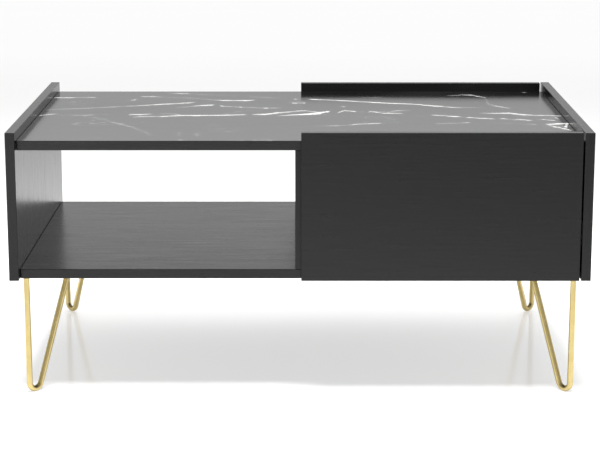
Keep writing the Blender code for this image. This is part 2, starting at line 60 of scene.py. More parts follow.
WELD_DISTANCE = 1e-7
MILLIMETRE = 0.001

log = logging.getLogger("coffee_table")

Point = tuple[float, float, float]
Colour = tuple[float, float, float]


class Body(str, Enum):
    """The bodies that pieces ride on."""

    ROOT = "root"
    DRAWER = "drawer"
    MIDDLE_LEFT = "runner_middle_left"
    MIDDLE_RIGHT = "runner_middle_right"


class Grain(Enum):
    """The direction that a board's grain runs in."""

    ALONG_X = 0
    ALONG_Y = 1
    ALONG_Z = 2


# ---------------------------------------------------------------- node trees


class Value:
    """A number socket of a node tree, on which Python arithmetic adds Math nodes."""

    def __init__(self, canvas: "Canvas", socket: Socket) -> None:
        """Wraps a socket.

        Args:
            canvas: The node tree that the socket is in.
            socket: An output socket that carries a number.
        """
        self.canvas = canvas
        self.socket = socket

    def _math(self, operation: str, *inputs: Any) -> "Value":
        """Adds one Math node.

        Args:
            operation: The Math node's operation.
            inputs: Its inputs in order, as Values or numbers.

        Returns:
            The node's result.
        """
        node = self.canvas.node("ShaderNodeMath", dict(enumerate(inputs)), operation=operation)
        return Value(self.canvas, node.outputs[0])

    def __add__(self, other: Any) -> "Value":
        """Self plus other."""
        return self._math("ADD", self, other)

    __radd__ = __add__

    def __sub__(self, other: Any) -> "Value":
        """Self minus other."""
        return self._math("SUBTRACT", self, other)

    def __rsub__(self, other: Any) -> "Value":
        """Other minus self."""
        return self._math("SUBTRACT", other, self)

    def __mul__(self, other: Any) -> "Value":
        """Self times other."""
        return self._math("MULTIPLY", self, other)

    __rmul__ = __mul__

    def __truediv__(self, other: Any) -> "Value":
        """Self over other."""
        return self._math("DIVIDE", self, other)

    def __pow__(self, other: Any) -> "Value":
        """Self to the power of other."""
        return self._math("POWER", self, other)

    def __abs__(self) -> "Value":
        """Self without its sign."""
        return self._math("ABSOLUTE", self)

    def about(self, amount: float) -> "Value":
        """A change of plus or minus half the amount, from a value between 0 and 1."""
        return (self - 0.5) * amount

    def highest(self, other: Any) -> "Value":
        """The larger of self and other."""
        return self._math("MAXIMUM", self, other)

    def ease(self, start: Any, end: Any) -> "Value":
        """A smooth rise from 0 where self is start to 1 where self is end.

        Args:
            start: Where the rise starts, as a number or a Value.
            end: Where it ends.

        Returns:
            The eased value, from 0 to 1.
        """
        node = self.canvas.node(
            "ShaderNodeMapRange", {0: self, 1: start, 2: end}, interpolation_type="SMOOTHSTEP"
        )
        return Value(self.canvas, node.outputs[0])


class Canvas:
    """A node tree and one way to add any node to it."""

    def __init__(self, tree: NodeTree) -> None:
        """Takes a tree to draw in.

        Args:
            tree: The node tree.
        """
        self.tree = tree

    def node(self, kind: str, inputs: dict[Any, Any] | None = None, **settings: Any) -> Node:
        """Adds a node: its settings first, then its sockets.

        Args:
            kind: The node's type.
            inputs: Socket names or numbers, each with a value, a socket or a Value.
            settings: Its properties. "stops" holds a colour ramp's (position, colour) pairs.

        Returns:
            The new node.
        """
        made = self.tree.nodes.new(kind)
        for name, value in settings.items():
            if name == "stops":
                self._set_stops(made, value)
            else:
                setattr(made, name, value)
        for key, value in (inputs or {}).items():
            source = value.socket if isinstance(value, Value) else value
            if isinstance(source, Socket):
                self.tree.links.new(source, made.inputs[key])
            else:
                made.inputs[key].default_value = source
        return made

    @staticmethod
    def _set_stops(made: Node, stops: Sequence[tuple[float, Colour]]) -> None:
        """Gives a colour ramp its stops.

        Args:
            made: The ramp's node.
            stops: (position, colour) pairs from position 0 to position 1.
        """
        elements = made.color_ramp.elements
        for position, _ in stops[1:-1]:
            elements.new(position)
        for element, (position, colour) in zip(elements, stops):
            element.position = position
            element.color = (*colour, 1.0)


class Surface(Canvas):
    """A material's tree, with a Principled shader and the patterns that finishes share."""

    def __init__(
        self, name: str, roughness: float, metallic: float = 0.0, specular: float = 0.5
    ) -> None:
        """Starts a material.

        Args:
            name: The material's name.
            roughness: Roughness where nothing varies it.
            metallic: 1 for bare metal.
            specular: Strength of the clear reflection.
        """
        self.material = bpy.data.materials.new(name)
        self.material.use_nodes = True
        super().__init__(self.material.node_tree)
        self.tree.nodes.clear()
        self.shader = self.node(
            "ShaderNodeBsdfPrincipled",
            {"Roughness": roughness, "Metallic": metallic, "Specular IOR Level": specular},
        )
        self.node("ShaderNodeOutputMaterial", {"Surface": self.shader.outputs[0]})
        self.place = self.node("ShaderNodeTexCoord").outputs["Object"]

    def stretched(self, scale: Point) -> Socket:
        """Object coordinates times a scale for each axis."""
        return self.node("ShaderNodeMapping", {"Vector": self.place, "Scale": scale}).outputs[0]

    def noise(self, where: Socket, scale: float, detail: float = 2.0) -> Value:
        """A cloudy value from 0 to 1.

        Args:
            where: The coordinates.
            scale: Clouds in each unit of those coordinates.
            detail: Number of finer layers.

        Returns:
            The noise.
        """
        made = self.node("ShaderNodeTexNoise", {"Vector": where, "Scale": scale, "Detail": detail})
        return Value(self, made.outputs["Fac"])

    def mix(self, share: Any, first: Any, second: Any) -> Socket:
        """A colour between two others.

        Args:
            share: 0 gives first and 1 gives second.
            first: A colour or a colour socket.
            second: Another.

        Returns:
            The mixed colour.
        """
        colours = [(*c, 1.0) if isinstance(c, tuple) else c for c in (first, second)]
        made = self.node("ShaderNodeMix", {0: share, 6: colours[0], 7: colours[1]}, data_type="RGBA")
        return made.outputs[2]

    def feed(self, name: str, source: Any) -> None:
        """Links a value or a colour to one of the shader's inputs."""
        socket = source.socket if isinstance(source, Value) else source
        self.tree.links.new(socket, self.shader.inputs[name])

    def relief(self, height: Value, depth: float, strength: float = 1.0) -> None:
        """Bumps the surface.

        Args:
            height: The relief, from 0 to 1.
            depth: Height in metres that 1 stands for.
            strength: Share of the effect.
        """
        made = self.node("ShaderNodeBump", {"Height": height, "Distance": depth, "Strength": strength})
        self.feed("Normal", made.outputs[0])


# ------------------------------------------------------------------ finishes


@dataclass(frozen=True)
class Pattern:
    """Noise with a stretch of its own, eased between two levels."""

    stretch: Point
    low: float
    high: float
    scale: float = 1.0
    detail: float = 4.0

    def draw(self, surface: "Surface") -> Value:
        """The pattern in a material, from 0 to 1."""
        return surface.noise(surface.stretched(self.stretch), self.scale, self.detail).ease(
            self.low, self.high
        )


@dataclass(frozen=True)
class Laminate:
    """Black laminated board with a fine grain pressed into its matt face."""

    name: str
    grain: Grain
    dark: Colour = (0.0024, 0.0024, 0.0025)
    light: Colour = (0.0038, 0.0038, 0.0040)
    roughness: float = 0.25
    specular: float = 0.33
    streak_width: float = 0.0050
    pore_width: float = 0.0010
    along: float = 18.0  # a streak is this many times as long as it is wide
    contrast: tuple[float, float] = (0.30, 0.72)  # streaks darker and lighter than these are flat
    pore_tone: float = 0.2  # the pores' share of the colour
    pore_relief: float = 0.05  # and of the relief
    streak_gloss: float = 0.14  # how much the streaks and the pores change the roughness
    pore_gloss: float = 0.04
    relief_depth: float = 0.00030
    relief_strength: float = 0.50

    def _grain_scale(self, width: float) -> Point:
        """Coordinate scale for marks of one width, drawn out along the grain."""
        scale = [1 / width] * 3
        scale[self.grain.value] /= self.along
        return tuple(scale)

    def lay_on(self, surface: Surface) -> tuple[Socket, Value, Value]:
        """Draws the grain.

        Args:
            surface: The material to draw it in.

        Returns:
            The colour, the roughness and the relief.
        """
        streaks = surface.noise(surface.stretched(self._grain_scale(self.streak_width)), 1.0, 4.0)
        pores = surface.noise(surface.stretched(self._grain_scale(self.pore_width)), 1.0, 2.0)
        tone = streaks.ease(*self.contrast) * (1 - self.pore_tone) + pores * self.pore_tone
        colour = surface.mix(tone, self.dark, self.light)
        roughness = self.roughness + streaks.about(self.streak_gloss) + pores.about(self.pore_gloss)
        relief = pores * self.pore_relief + streaks * (1 - self.pore_relief)
        return colour, roughness, relief

    def material(self) -> Material:
        """The finished material."""
        surface = Surface(self.name, self.roughness, specular=self.specular)
        colour, roughness, relief = self.lay_on(surface)
        surface.feed("Base Color", colour)
        surface.feed("Roughness", roughness)
        surface.relief(relief, self.relief_depth, self.relief_strength)
        return surface.material


@dataclass(frozen=True)
class Vein:
    """One white vein of the marble print.

    Its points are (x, y, half width, whiteness), with lengths in millimetres on the top's plan.
    They go from left to right, or from front to back where the vein runs across the top.
    """

    points: tuple[tuple[float, float, float, float], ...]
    broken: float = 0.3
    across: bool = False


VEINS = (
    # the long pale streaks over the left half
    Vein(
        ((-469, 203, 6, 1.0), (-440, 203, 6, 1.0), (-428, 203, 4, 0.7), (-388, 203, 5, 0.9),
         (-382, 203, 2, 0)),
    ),
    Vein(
        ((-466, 50, 3, 0.5), (-400, 68, 4, 0.6), (-319, 93, 4, 0.7), (-262, 115, 6, 0.9),
         (-205, 135, 6, 1.0), (-186, 150, 2, 0)), 0.15,
    ),
    Vein(((-469, -17, 5, 0.9), (-455, -6, 7, 1.0), (-440, 3, 4, 0.7), (-430, -4, 3, 0)), 0.2),
    Vein(((-425, -3, 4, 0), (-390, -12, 7, 0.5), (-350, -6, 5, 0.4), (-338, -8, 2, 0)), 0.9),
    Vein(((-308, -4, 5, 0.7), (-285, -3, 6, 1.0), (-268, 4, 4, 0.6), (-262, 6, 2, 0)), 0.2),
    Vein(
        ((-300, -34, 4, 0.4), (-285, -28, 5, 0.9), (-240, -26, 7, 1.0), (-215, -16, 9, 1.0),
         (-160, -14, 7, 1.0), (-100, -5, 5, 0.9), (-92, -5, 2, 0)), 0.1,
    ),
    Vein(((-254, 8, 3, 0.4), (-232, 4, 5, 0.6), (-214, -10, 5, 0.8), (-205, -14, 2, 0))),
    Vein(
        ((-226, 76, 3, 0.3), (-200, 94, 5, 0.6), (-180, 102, 7, 0.9), (-164, 106, 7, 1.0),
         (-158, 116, 3, 0)), 0.2,
    ),
    Vein(
        ((-152, 108, 6, 0.5), (-144, 94, 7, 0.9), (-120, 88, 6, 0.7), (-94, 78, 9, 0.9),
         (-60, 70, 9, 0.9), (-36, 76, 4, 0.4), (-30, 78, 2, 0)), 0.75,
    ),
    Vein(
        ((-306, 217, 4, 0.7), (-284, 217, 7, 0.8), (-260, 210, 3, 0.4), (-200, 194, 3, 0.4),
         (-160, 172, 4, 0.5), (-146, 166, 6, 0.9), (-100, 164, 7, 1.0), (-86, 170, 5, 0.7),
         (-78, 172, 2, 0)), 0.2,
    ),
    Vein(((-100, 216, 3, 0.4), (-60, 204, 5, 0.5), (-44, 196, 3, 0.3), (-30, 190, 2, 0)), 0.5),
    Vein(
        ((-316, 158, 3, 0), (-312, 172, 5, 0.7), (-310, 184, 4, 0.4), (-309, 192, 2, 0)), 0.2, across=True,
    ),
    Vein(
        ((-262, 263, 2, 0.3), (-226, 256, 7, 0.9), (-206, 248, 5, 0.4), (-120, 228, 2, 0.3),
         (-110, 226, 2, 0)), 0.4,
    ),
    # the bright heart in the middle
    Vein(
        ((-88, -4, 4, 0.6), (-64, -3, 10, 1.0), (-48, 10, 14, 1.0), (-30, 20, 6, 0.8),
         (9, 42, 6, 0.8), (14, 44, 2, 0)), 0.15,
    ),
    Vein(
        ((-42, -20, 3, 0.5), (-14, -10, 7, 1.0), (12, 0, 9, 1.0), (36, 12, 16, 1.0),
         (50, 32, 8, 1.0), (56, 36, 2, 0)), 0.05,
    ),
    Vein(
        ((-36, 24, 4, 0.5), (-8, 30, 6, 0.7), (12, 40, 5, 0.8), (30, 24, 5, 0.7), (40, 20, 2, 0)), 0.35,
    ),
    Vein(
        ((66, 12, 4, 0.8), (72, 30, 8, 0.9), (80, 42, 6, 0.9), (100, 30, 6, 0.8), (106, 28, 2, 0)), 0.15,
    ),
    Vein(
        ((124, 32, 4, 0.8), (136, 28, 7, 1.0), (150, 12, 7, 1.0), (184, 6, 6, 0.8), (190, 6, 2, 0)), 0.15,
    ),
    Vein(
        ((156, 10, 4, 0.5), (166, 32, 9, 0.6), (176, 42, 6, 0.7), (200, 44, 4, 0.5), (204, 44, 2, 0)), 0.35,
    ),
    Vein(((70, 90, 2, 0), (80, 90, 7, 0.8), (90, 90, 2, 0)), 0.0),
    Vein(
        ((-24, 146, 4, 0.2), (-16, 140, 18, 0.7), (0, 138, 20, 0.8), (10, 134, 18, 0.7),
         (16, 130, 3, 0)), 0.8,
    ),
    Vein(((-18, 184, 2, 0), (-9, 184, 11, 0.6), (2, 182, 2, 0)), 0.4),
    # the long vein and its neighbours over the right half
    Vein(
        ((10, 184, 4, 0.7), (30, 179, 6, 0.9), (110, 153, 6, 0.9), (162, 134, 6, 0.95),
         (219, 118, 6, 0.9), (250, 96, 8, 1.0), (288, 78, 6, 0.8), (338, 77, 2, 0.2),
         (344, 77, 2, 0)), 0.05,
    ),
    Vein(((115, 202, 4, 0.25), (150, 206, 5, 0.3), (170, 206, 2, 0))),
    Vein(
        ((280, 226, 2, 0.2), (296, 230, 6, 0.6), (310, 240, 10, 0.8), (331, 231, 9, 0.8),
         (352, 200, 6, 0.7), (356, 190, 2, 0)),
    ),
    Vein(
        ((382, 62, 2, 0), (380, 70, 4, 0.9), (362, 98, 4, 0.9), (352, 120, 4, 0.4),
         (350, 150, 4, 0.3), (350, 190, 3, 0.2)), 0.45, across=True,
    ),
    Vein(((426, 270, 2, 0), (434, 271, 9, 0.6), (442, 271, 2, 0)), 0.0),
    Vein(
        ((322, 12, 3, 0.5), (345, 11, 6, 0.8), (376, 12, 10, 1.0), (394, 0, 9, 1.0),
         (425, -13, 6, 1.0), (469, -20, 5, 1.0)), 0.1,
    ),
    Vein(((392, -8, 4, 0.4), (404, -18, 8, 0.6), (412, -22, 2, 0)), 0.4),
    Vein(
        ((232, -8, 5, 0.7), (250, -14, 6, 0.8), (278, -28, 6, 0.9), (290, -34, 3, 0.3),
         (297, -38, 5, 0.9), (341, -51, 7, 1.0), (350, -52, 2, 0.1), (362, -50, 9, 0.9),
         (372, -58, 5, 0.3), (385, -60, 6, 0.8), (404, -70, 8, 0.9), (414, -66, 3, 0.2),
         (430, -60, 8, 0.9), (446, -70, 7, 0.8), (452, -72, 2, 0)),
    ),
    Vein(((457, -62, 2, 0.3), (456, -45, 3, 0.7), (456, -28, 2, 0.5)), 0.2, across=True),
    # the corner piece at the front on the right
    Vein(((424, -112, 4, 0.5), (432, -110, 9, 1.0), (466, -104, 7, 1.0), (469, -104, 6, 1.0)), 0.05),
    Vein(
        ((463, -186, 2, 0.3), (460, -168, 5, 0.9), (446, -148, 7, 0.9), (432, -122, 8, 1.0),
         (427, -110, 3, 0.5)), 0.15, across=True,
    ),
    Vein(((458, -158, 2, 0.5), (460, -140, 4, 1.0), (465, -104, 4, 1.0)), 0.0, across=True),
    # faint marks towards the front
    Vein(
        ((-16, -142, 2, 0.1), (40, -130, 3, 0.3), (62, -126, 6, 0.5), (80, -122, 4, 0.4),
         (95, -113, 6, 0.8), (138, -100, 5, 0.6), (144, -98, 2, 0)), 0.35,
    ),
    Vein(((236, -108, 6, 0.4), (270, -100, 4, 0.4), (294, -94, 6, 0.6), (300, -92, 2, 0)), 0.35),
    Vein(((334, -90, 3, 0.2), (380, -104, 6, 0.3), (406, -112, 7, 0.35), (412, -112, 2, 0)), 0.5),
    Vein(
        ((-250, -232, 2, 0.3), (-262, -200, 2, 0.35), (-286, -148, 3, 0.4), (-326, -96, 4, 0.5),
         (-342, -70, 2, 0.3), (-362, -36, 2, 0.3)), 0.3, across=True,
    ),
    Vein(((-203, -236, 4, 0.3), (-202, -200, 6, 0.3), (-203, -186, 2, 0)), 0.6, across=True),
    Vein(((-170, -238, 4, 0.3), (-174, -200, 5, 0.3), (-176, -190, 2, 0)), 0.6, across=True),
    Vein(((-208, -273, 2, 0), (-200, -273, 6, 0.5), (-192, -273, 2, 0)), 0.0),
)


@dataclass(frozen=True)
class MarblePrint:
    """Satin print of black marble on the upper face, over the laminate of the edges."""

    name: str
    veins: tuple[Vein, ...]
    edges: Laminate
    ground: Colour = (0.0030, 0.0030, 0.0032)
    cloud: Colour = (0.0130, 0.0130, 0.0138)
    white: Colour = (0.62, 0.62, 0.61)
    roughness: float = 0.17
    specular: float = 0.40
    wander: Point = (0.020, 0.013, 0.0)  # how far noise carries a vein off its line
    plan_span: float = 0.6  # the ramps hold places from minus this to plus this
    widest: float = 0.025  # and half widths from 0 to this
    slimmer: float = 0.66
    softness: float = 0.0014
    halo: float = 0.014
    haze: float = 0.09
    fading: float = 0.03  # share of a vein's length in which each end fades
    whiteness_power: float = 1.7
    drift_scale: float = 21.0
    drift_detail: float = 8.0
    drift_roughness: float = 0.62
    swelling: Pattern = Pattern((34.0, 120.0, 1.0), 0.30, 0.66)
    swelling_range: tuple[float, float] = (0.95, 0.30)  # a pattern's gain and its least value
    fray_stretch: Point = (190.0, 520.0, 1.0)
    fray_range: tuple[float, float] = (1.3, 0.35)
    gaps: Pattern = Pattern((52.0, 44.0, 1.0), 0.47, 0.56)
    clouds: Pattern = Pattern((1.0, 2.2, 1.0), 0.35, 0.80, 5.0, 6.0)
    strands: Pattern = Pattern((26.0, 430.0, 1.0), 0.30, 0.62, detail=2.0)
    strands_range: tuple[float, float] = (0.75, 0.25)
    cloud_gloss: float = 0.04
    vein_gloss: float = 0.05
    peel_scale: float = 420.0
    peel_relief: float = 0.035
    hairline_stretch: Point = (2.2, 4.6, 1.0)
    hairline_scale: float = 1.7
    hairline_detail: float = 9.0
    hairline_width: tuple[float, float] = (0.0005, 0.0045)
    hairline_patches: tuple[float, float] = (0.48, 0.66)
    patch_scale: float = 5.0
    hairline_strength: float = 0.22
    upper_face: tuple[float, float] = (0.80, 0.98)  # upward share of the normal there

    def _mask_group(self) -> NodeTree:
        """The node group that turns a vein's ramp into its mask and lays it over the veins before it.

        Returns:
            The group. Its inputs are the places along and across the vein and the ramp's colour.
        """
        tree = bpy.data.node_groups.new("vein_mask", "ShaderNodeTree")
        for name in ("Share", "Aside", "Swell", "Gaps", "Broken", "Before"):
            tree.interface.new_socket(name, in_out="INPUT", socket_type="NodeSocketFloat")
        tree.interface.new_socket("Line", in_out="INPUT", socket_type="NodeSocketColor")
        tree.interface.new_socket("Mask", in_out="OUTPUT", socket_type="NodeSocketFloat")
        canvas = Canvas(tree)
        given = canvas.node("NodeGroupInput").outputs
        share, aside, swell, gaps, broken, before = (Value(canvas, given[index]) for index in range(6))
        split = canvas.node("ShaderNodeSeparateColor", {0: given["Line"]})
        centre, width, whiteness = (Value(canvas, socket) for socket in split.outputs)
        distance = abs(aside - (centre - 0.5) * (2 * self.plan_span))
        half = width * swell * self.widest
        solid = 1 - distance.ease(half - self.softness, half + self.softness)
        haze = (1 - distance.ease(half, half + self.halo)) * self.haze
        inside = (0.5 - abs(share - 0.5)).ease(0.0, self.fading)
        mask = solid.highest(haze) * whiteness**self.whiteness_power * inside * (1 - gaps * broken)
        canvas.node("NodeGroupOutput", {0: mask.highest(before)})
        return tree

    def _ramp_stops(self, vein: Vein) -> tuple[float, float, list[tuple[float, Colour]]]:
        """A vein's points as a colour ramp.

        Args:
            vein: The vein.

        Returns:
            Where the vein starts and ends, and the ramp's stops: red holds the middle line, green the
            half width and blue the whiteness.
        """
        places = [(y, x) if vein.across else (x, y) for x, y, _, _ in vein.points]
        start, end = (place[0] * MILLIMETRE for place in (places[0], places[-1]))
        stops = []
        for (along, aside), (_, _, half, whiteness) in zip(places, vein.points):
            centre = aside * MILLIMETRE / (2 * self.plan_span) + 0.5
            position = (along * MILLIMETRE - start) / (end - start)
            stops.append((position, (centre, half * MILLIMETRE / self.widest, whiteness)))
        return start, end, stops

    def _whiteness(self, surface: Surface) -> Value:
        """How white the veins make the print.

        Args:
            surface: The material.

        Returns:
            The mask of every vein, from 0 to 1.
        """
        drift = surface.node(
            "ShaderNodeTexNoise",
            {
                "Vector": surface.place, "Scale": self.drift_scale, "Detail": self.drift_detail,
                "Roughness": self.drift_roughness,
            },
        )
        centred = surface.node(
            "ShaderNodeVectorMath",
            {0: drift.outputs["Color"], 1: (0.5, 0.5, 0.5)},
            operation="SUBTRACT",
        )
        warped = surface.node(
            "ShaderNodeVectorMath",
            {0: centred.outputs[0], 1: self.wander, 2: surface.place},
            operation="MULTIPLY_ADD",
        ).outputs[0]
        split = surface.node("ShaderNodeSeparateXYZ", {0: warped})
        gain, least = self.swelling_range
        swell = self.swelling.draw(surface) * gain + least
        gain, least = self.fray_range
        frayed = surface.noise(surface.stretched(self.fray_stretch), 1.0, 3.0) * gain + least
        swell = swell * frayed * self.slimmer
        gaps = self.gaps.draw(surface)
        whiteness = self._hairlines(surface, warped)
        group = self._mask_group()
        for vein in self.veins:
            start, end, stops = self._ramp_stops(vein)
            run, aside = (split.outputs[1], split.outputs[0]) if vein.across else split.outputs[:2]
            share = surface.node("ShaderNodeMapRange", {0: run, 1: start, 2: end}, clamp=False)
            ramp = surface.node("ShaderNodeValToRGB", {0: share.outputs[0]}, stops=stops)
            mask = surface.node(
                "ShaderNodeGroup",
                {
                    "Share": share.outputs[0], "Aside": aside, "Line": ramp.outputs[0], "Swell": swell,
                    "Gaps": gaps, "Broken": vein.broken, "Before": whiteness,
                },
                node_tree=group,
            )
            whiteness = Value(surface, mask.outputs[0])
        return whiteness

    def material(self) -> Material:
        """The finished material."""
        surface = Surface(self.name, self.roughness, specular=self.specular)
        whiteness = self._whiteness(surface)
        clouds = self.clouds.draw(surface)
        stone = surface.mix(clouds, self.ground, self.cloud)
        gain, least = self.strands_range
        whiteness = whiteness * (self.strands.draw(surface) * gain + least)
        printed = surface.mix(whiteness, stone, self.white)
        edge_colour, edge_roughness, edge_relief = self.edges.lay_on(surface)
        normal = surface.node("ShaderNodeNewGeometry").outputs["Normal"]
        upward = Value(surface, surface.node("ShaderNodeSeparateXYZ", {0: normal}).outputs[2])
        is_face = upward.ease(*self.upper_face)
        peel = surface.noise(surface.place, self.peel_scale, 1.0)
        face_roughness = self.roughness + clouds.about(self.cloud_gloss) + whiteness * self.vein_gloss
        surface.feed("Base Color", surface.mix(is_face, edge_colour, printed))
        surface.feed("Roughness", is_face * face_roughness + (1 - is_face) * edge_roughness)
        relief = is_face * peel * self.peel_relief + (1 - is_face) * edge_relief
        surface.relief(relief, self.edges.relief_depth, self.edges.relief_strength)
        return surface.material

    def _hairlines(self, surface: Surface, warped: Socket) -> Value:
        """Faint hairline cracks that wind about, only in some places.

        Args:
            surface: The material.
            warped: Coordinates bent by noise.

        Returns:
            Their mask.
        """
        stretched = surface.node("ShaderNodeMapping", {"Vector": warped, "Scale": self.hairline_stretch})
        winding = surface.noise(stretched.outputs[0], self.hairline_scale, self.hairline_detail)
        line = 1 - abs(winding - 0.5).ease(*self.hairline_width)
        patches = surface.noise(surface.place, self.patch_scale, 2.0).ease(*self.hairline_patches)
        return line * patches * self.hairline_strength


@dataclass(frozen=True)
class Metal:
    """Metal with a cloudy tone and fine scratches or spangle."""

    name: str
    dull: Colour
    bright: Colour
    roughness: float
    mottle: float = 60.0  # clouds in each metre
    scratch: Point = (900.0, 900.0, 60.0)
    relief: float = 0.00002
    relief_strength: float = 0.5
    contrast: tuple[float, float] = (0.3, 0.7)
    cloud_gloss: float = 0.12
    scratch_gloss: float = 0.10

    def material(self) -> Material:
        """The finished material."""
        surface = Surface(self.name, self.roughness, metallic=1.0)
        clouds = surface.noise(surface.place, self.mottle, 3.0)
        scratches = surface.noise(surface.stretched(self.scratch), 1.0, 2.0)
        surface.feed("Base Color", surface.mix(clouds.ease(*self.contrast), self.dull, self.bright))
        varied = self.roughness + clouds.about(self.cloud_gloss) + scratches.about(self.scratch_gloss)
        surface.feed("Roughness", varied)
        surface.relief(scratches, self.relief, self.relief_strength)
        return surface.material


@dataclass(frozen=True)
class Moulded:
    """Plastic, rubber or painted fibreboard with a fine texture."""

    name: str
    dark: Colour
    light: Colour
    roughness: float
    texture: float = 1600.0  # bumps in each metre
    depth: float = 0.00003
    relief_strength: float = 0.6
    mottle: float = 40.0
    contrast: tuple[float, float] = (0.3, 0.7)
    bump_gloss: float = 0.15

    def material(self) -> Material:
        """The finished material."""
        surface = Surface(self.name, self.roughness)
        clouds = surface.noise(surface.place, self.mottle, 3.0)
        bumps = surface.noise(surface.place, self.texture, 1.0)
        surface.feed("Base Color", surface.mix(clouds.ease(*self.contrast), self.dark, self.light))
        surface.feed("Roughness", self.roughness + bumps.about(self.bump_gloss))
        surface.relief(bumps, self.depth, self.relief_strength)
        return surface.material


@dataclass
class Finishes:
    """Every material of the table, made once."""

    along_x: Material = field(init=False)
    upright: Material = field(init=False)
    marble: Material = field(init=False)
    box_board: Material = field(init=False)
    base_board: Material = field(init=False)
    gold: Material = field(init=False)
    zinc: Material = field(init=False)
    steel: Material = field(init=False)
    grey_plastic: Material = field(init=False)
    white_plastic: Material = field(init=False)
    black_plastic_gap_shade: Material = field(init=False)
    rubber: Material = field(init=False)

    def __post_init__(self) -> None:
        """Makes the materials."""
        long_grain = Laminate("black_laminate_long_grain", Grain.ALONG_X)
        self.along_x = long_grain.material()
        self.upright = Laminate("black_laminate_upright_grain", Grain.ALONG_Z).material()
        self.marble = MarblePrint("black_marble_print", VEINS, long_grain).material()
        self.box_board = Laminate(
            "drawer_foil", Grain.ALONG_Y, (0.030, 0.030, 0.032), (0.050, 0.050, 0.053), roughness=0.5
        ).material()
        self.base_board = Moulded(
            "painted_fibreboard", (0.060, 0.060, 0.062), (0.085, 0.085, 0.088), 0.6, texture=900.0
        ).material()
        self.gold = Metal(
            "satin_gold", (0.47, 0.375, 0.160), (0.53, 0.425, 0.190), 0.24, mottle=45.0, relief=0.000003
        ).material()
        self.zinc = Metal(
            "cast_zinc", (0.42, 0.42, 0.43), (0.58, 0.58, 0.59), 0.48, mottle=500.0
        ).material()
        self.steel = Metal(
            "plated_steel", (0.52, 0.53, 0.55), (0.68, 0.68, 0.69), 0.28, mottle=180.0,
            scratch=(900.0, 20.0, 900.0), relief=0.000004,
        ).material()
        self.grey_plastic, self.white_plastic, self.black_plastic_gap_shade, self.rubber = (
            Moulded(*finish).material()
            for finish in (
                ("grey_plastic", (0.09, 0.09, 0.10), (0.12, 0.12, 0.13), 0.45),
                ("white_plastic", (0.52, 0.52, 0.51), (0.60, 0.60, 0.59), 0.38),
                # black end stops of the runners; their darkness is partly painted shade for the gap beside
                # the drawer front
                ("black_plastic_gap_shade", (0.010, 0.010, 0.010), (0.016, 0.016, 0.017), 0.5),
                ("clear_rubber", (0.30, 0.30, 0.29), (0.38, 0.38, 0.37), 0.32),
            )
        )


# --------------------------------------------------------------- mesh making


def dress(node: str, material: Material) -> None:
    """Gives a CAD node its finish.

    Args:
        node: The node's name.
        material: The finish.
    """
    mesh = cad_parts[node].data
    mesh.materials.clear()
    mesh.materials.append(material)
    log.info("dressed %s in %s", node, material.name)


def settle(obj: Object, body: Body, replaced: Iterable[str] = ()) -> None:
    """Fixes a finished piece to its body.

    Args:
        obj: The piece, in place.
        body: What it rides on.
        replaced: CAD nodes that it stands for.
    """
    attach(obj, body.value)
    nodes = list(replaced)
    if nodes:
        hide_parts(*nodes)
    log.info("made %s on %s", obj.name, body.value)


def object_from(name: str, bm: BMesh, material: Material) -> Object:
    """A smooth-shaded object from a bmesh, with its faces turned outwards.

    Args:
        name: The object's name.
        bm: The shape, which is freed.
        material: Its finish.

    Returns:
        The object, in the scene.
    """
    bmesh.ops.remove_doubles(bm, verts=bm.verts, dist=WELD_DISTANCE)
    bmesh.ops.recalc_face_normals(bm, faces=bm.faces)
    mesh = bpy.data.meshes.new(name)
    bm.to_mesh(mesh)
    bm.free()
    mesh.materials.append(material)
    return shown(mesh)


def shown(mesh: bpy.types.Mesh) -> Object:
    """A smooth-shaded object of a finished mesh, in the scene under the mesh's name."""
    mesh.shade_smooth()
    mesh.set_sharp_from_angle(angle=SHARP_ANGLE)
    obj = bpy.data.objects.new(mesh.name, mesh)
    bpy.context.scene.collection.objects.link(obj)
    return obj


def skin(bm: BMesh, rings: Sequence[Sequence[Vector]], capped: bool = True) -> None:
    """Joins rings of points into a tube.

    Args:
        bm: Where the tube goes.
        rings: Rings with the same number of points.
        capped: Whether both ends are closed, or the last ring joins the first.
    """
    made = [[bm.verts.new(point) for point in ring] for ring in rings]
    pairs = list(zip(made, made[1:]))
    if not capped:
        pairs.append((made[-1], made[0]))
    for first, second in pairs:
        for step, point in enumerate(first):
            after = (step + 1) % len(first)
            bm.faces.new((point, first[after], second[after], second[step]))
    if capped:
        bm.faces.new(made[0][::-1])
        bm.faces.new(made[-1])


# -------------------------------------------------------- repeated fasteners


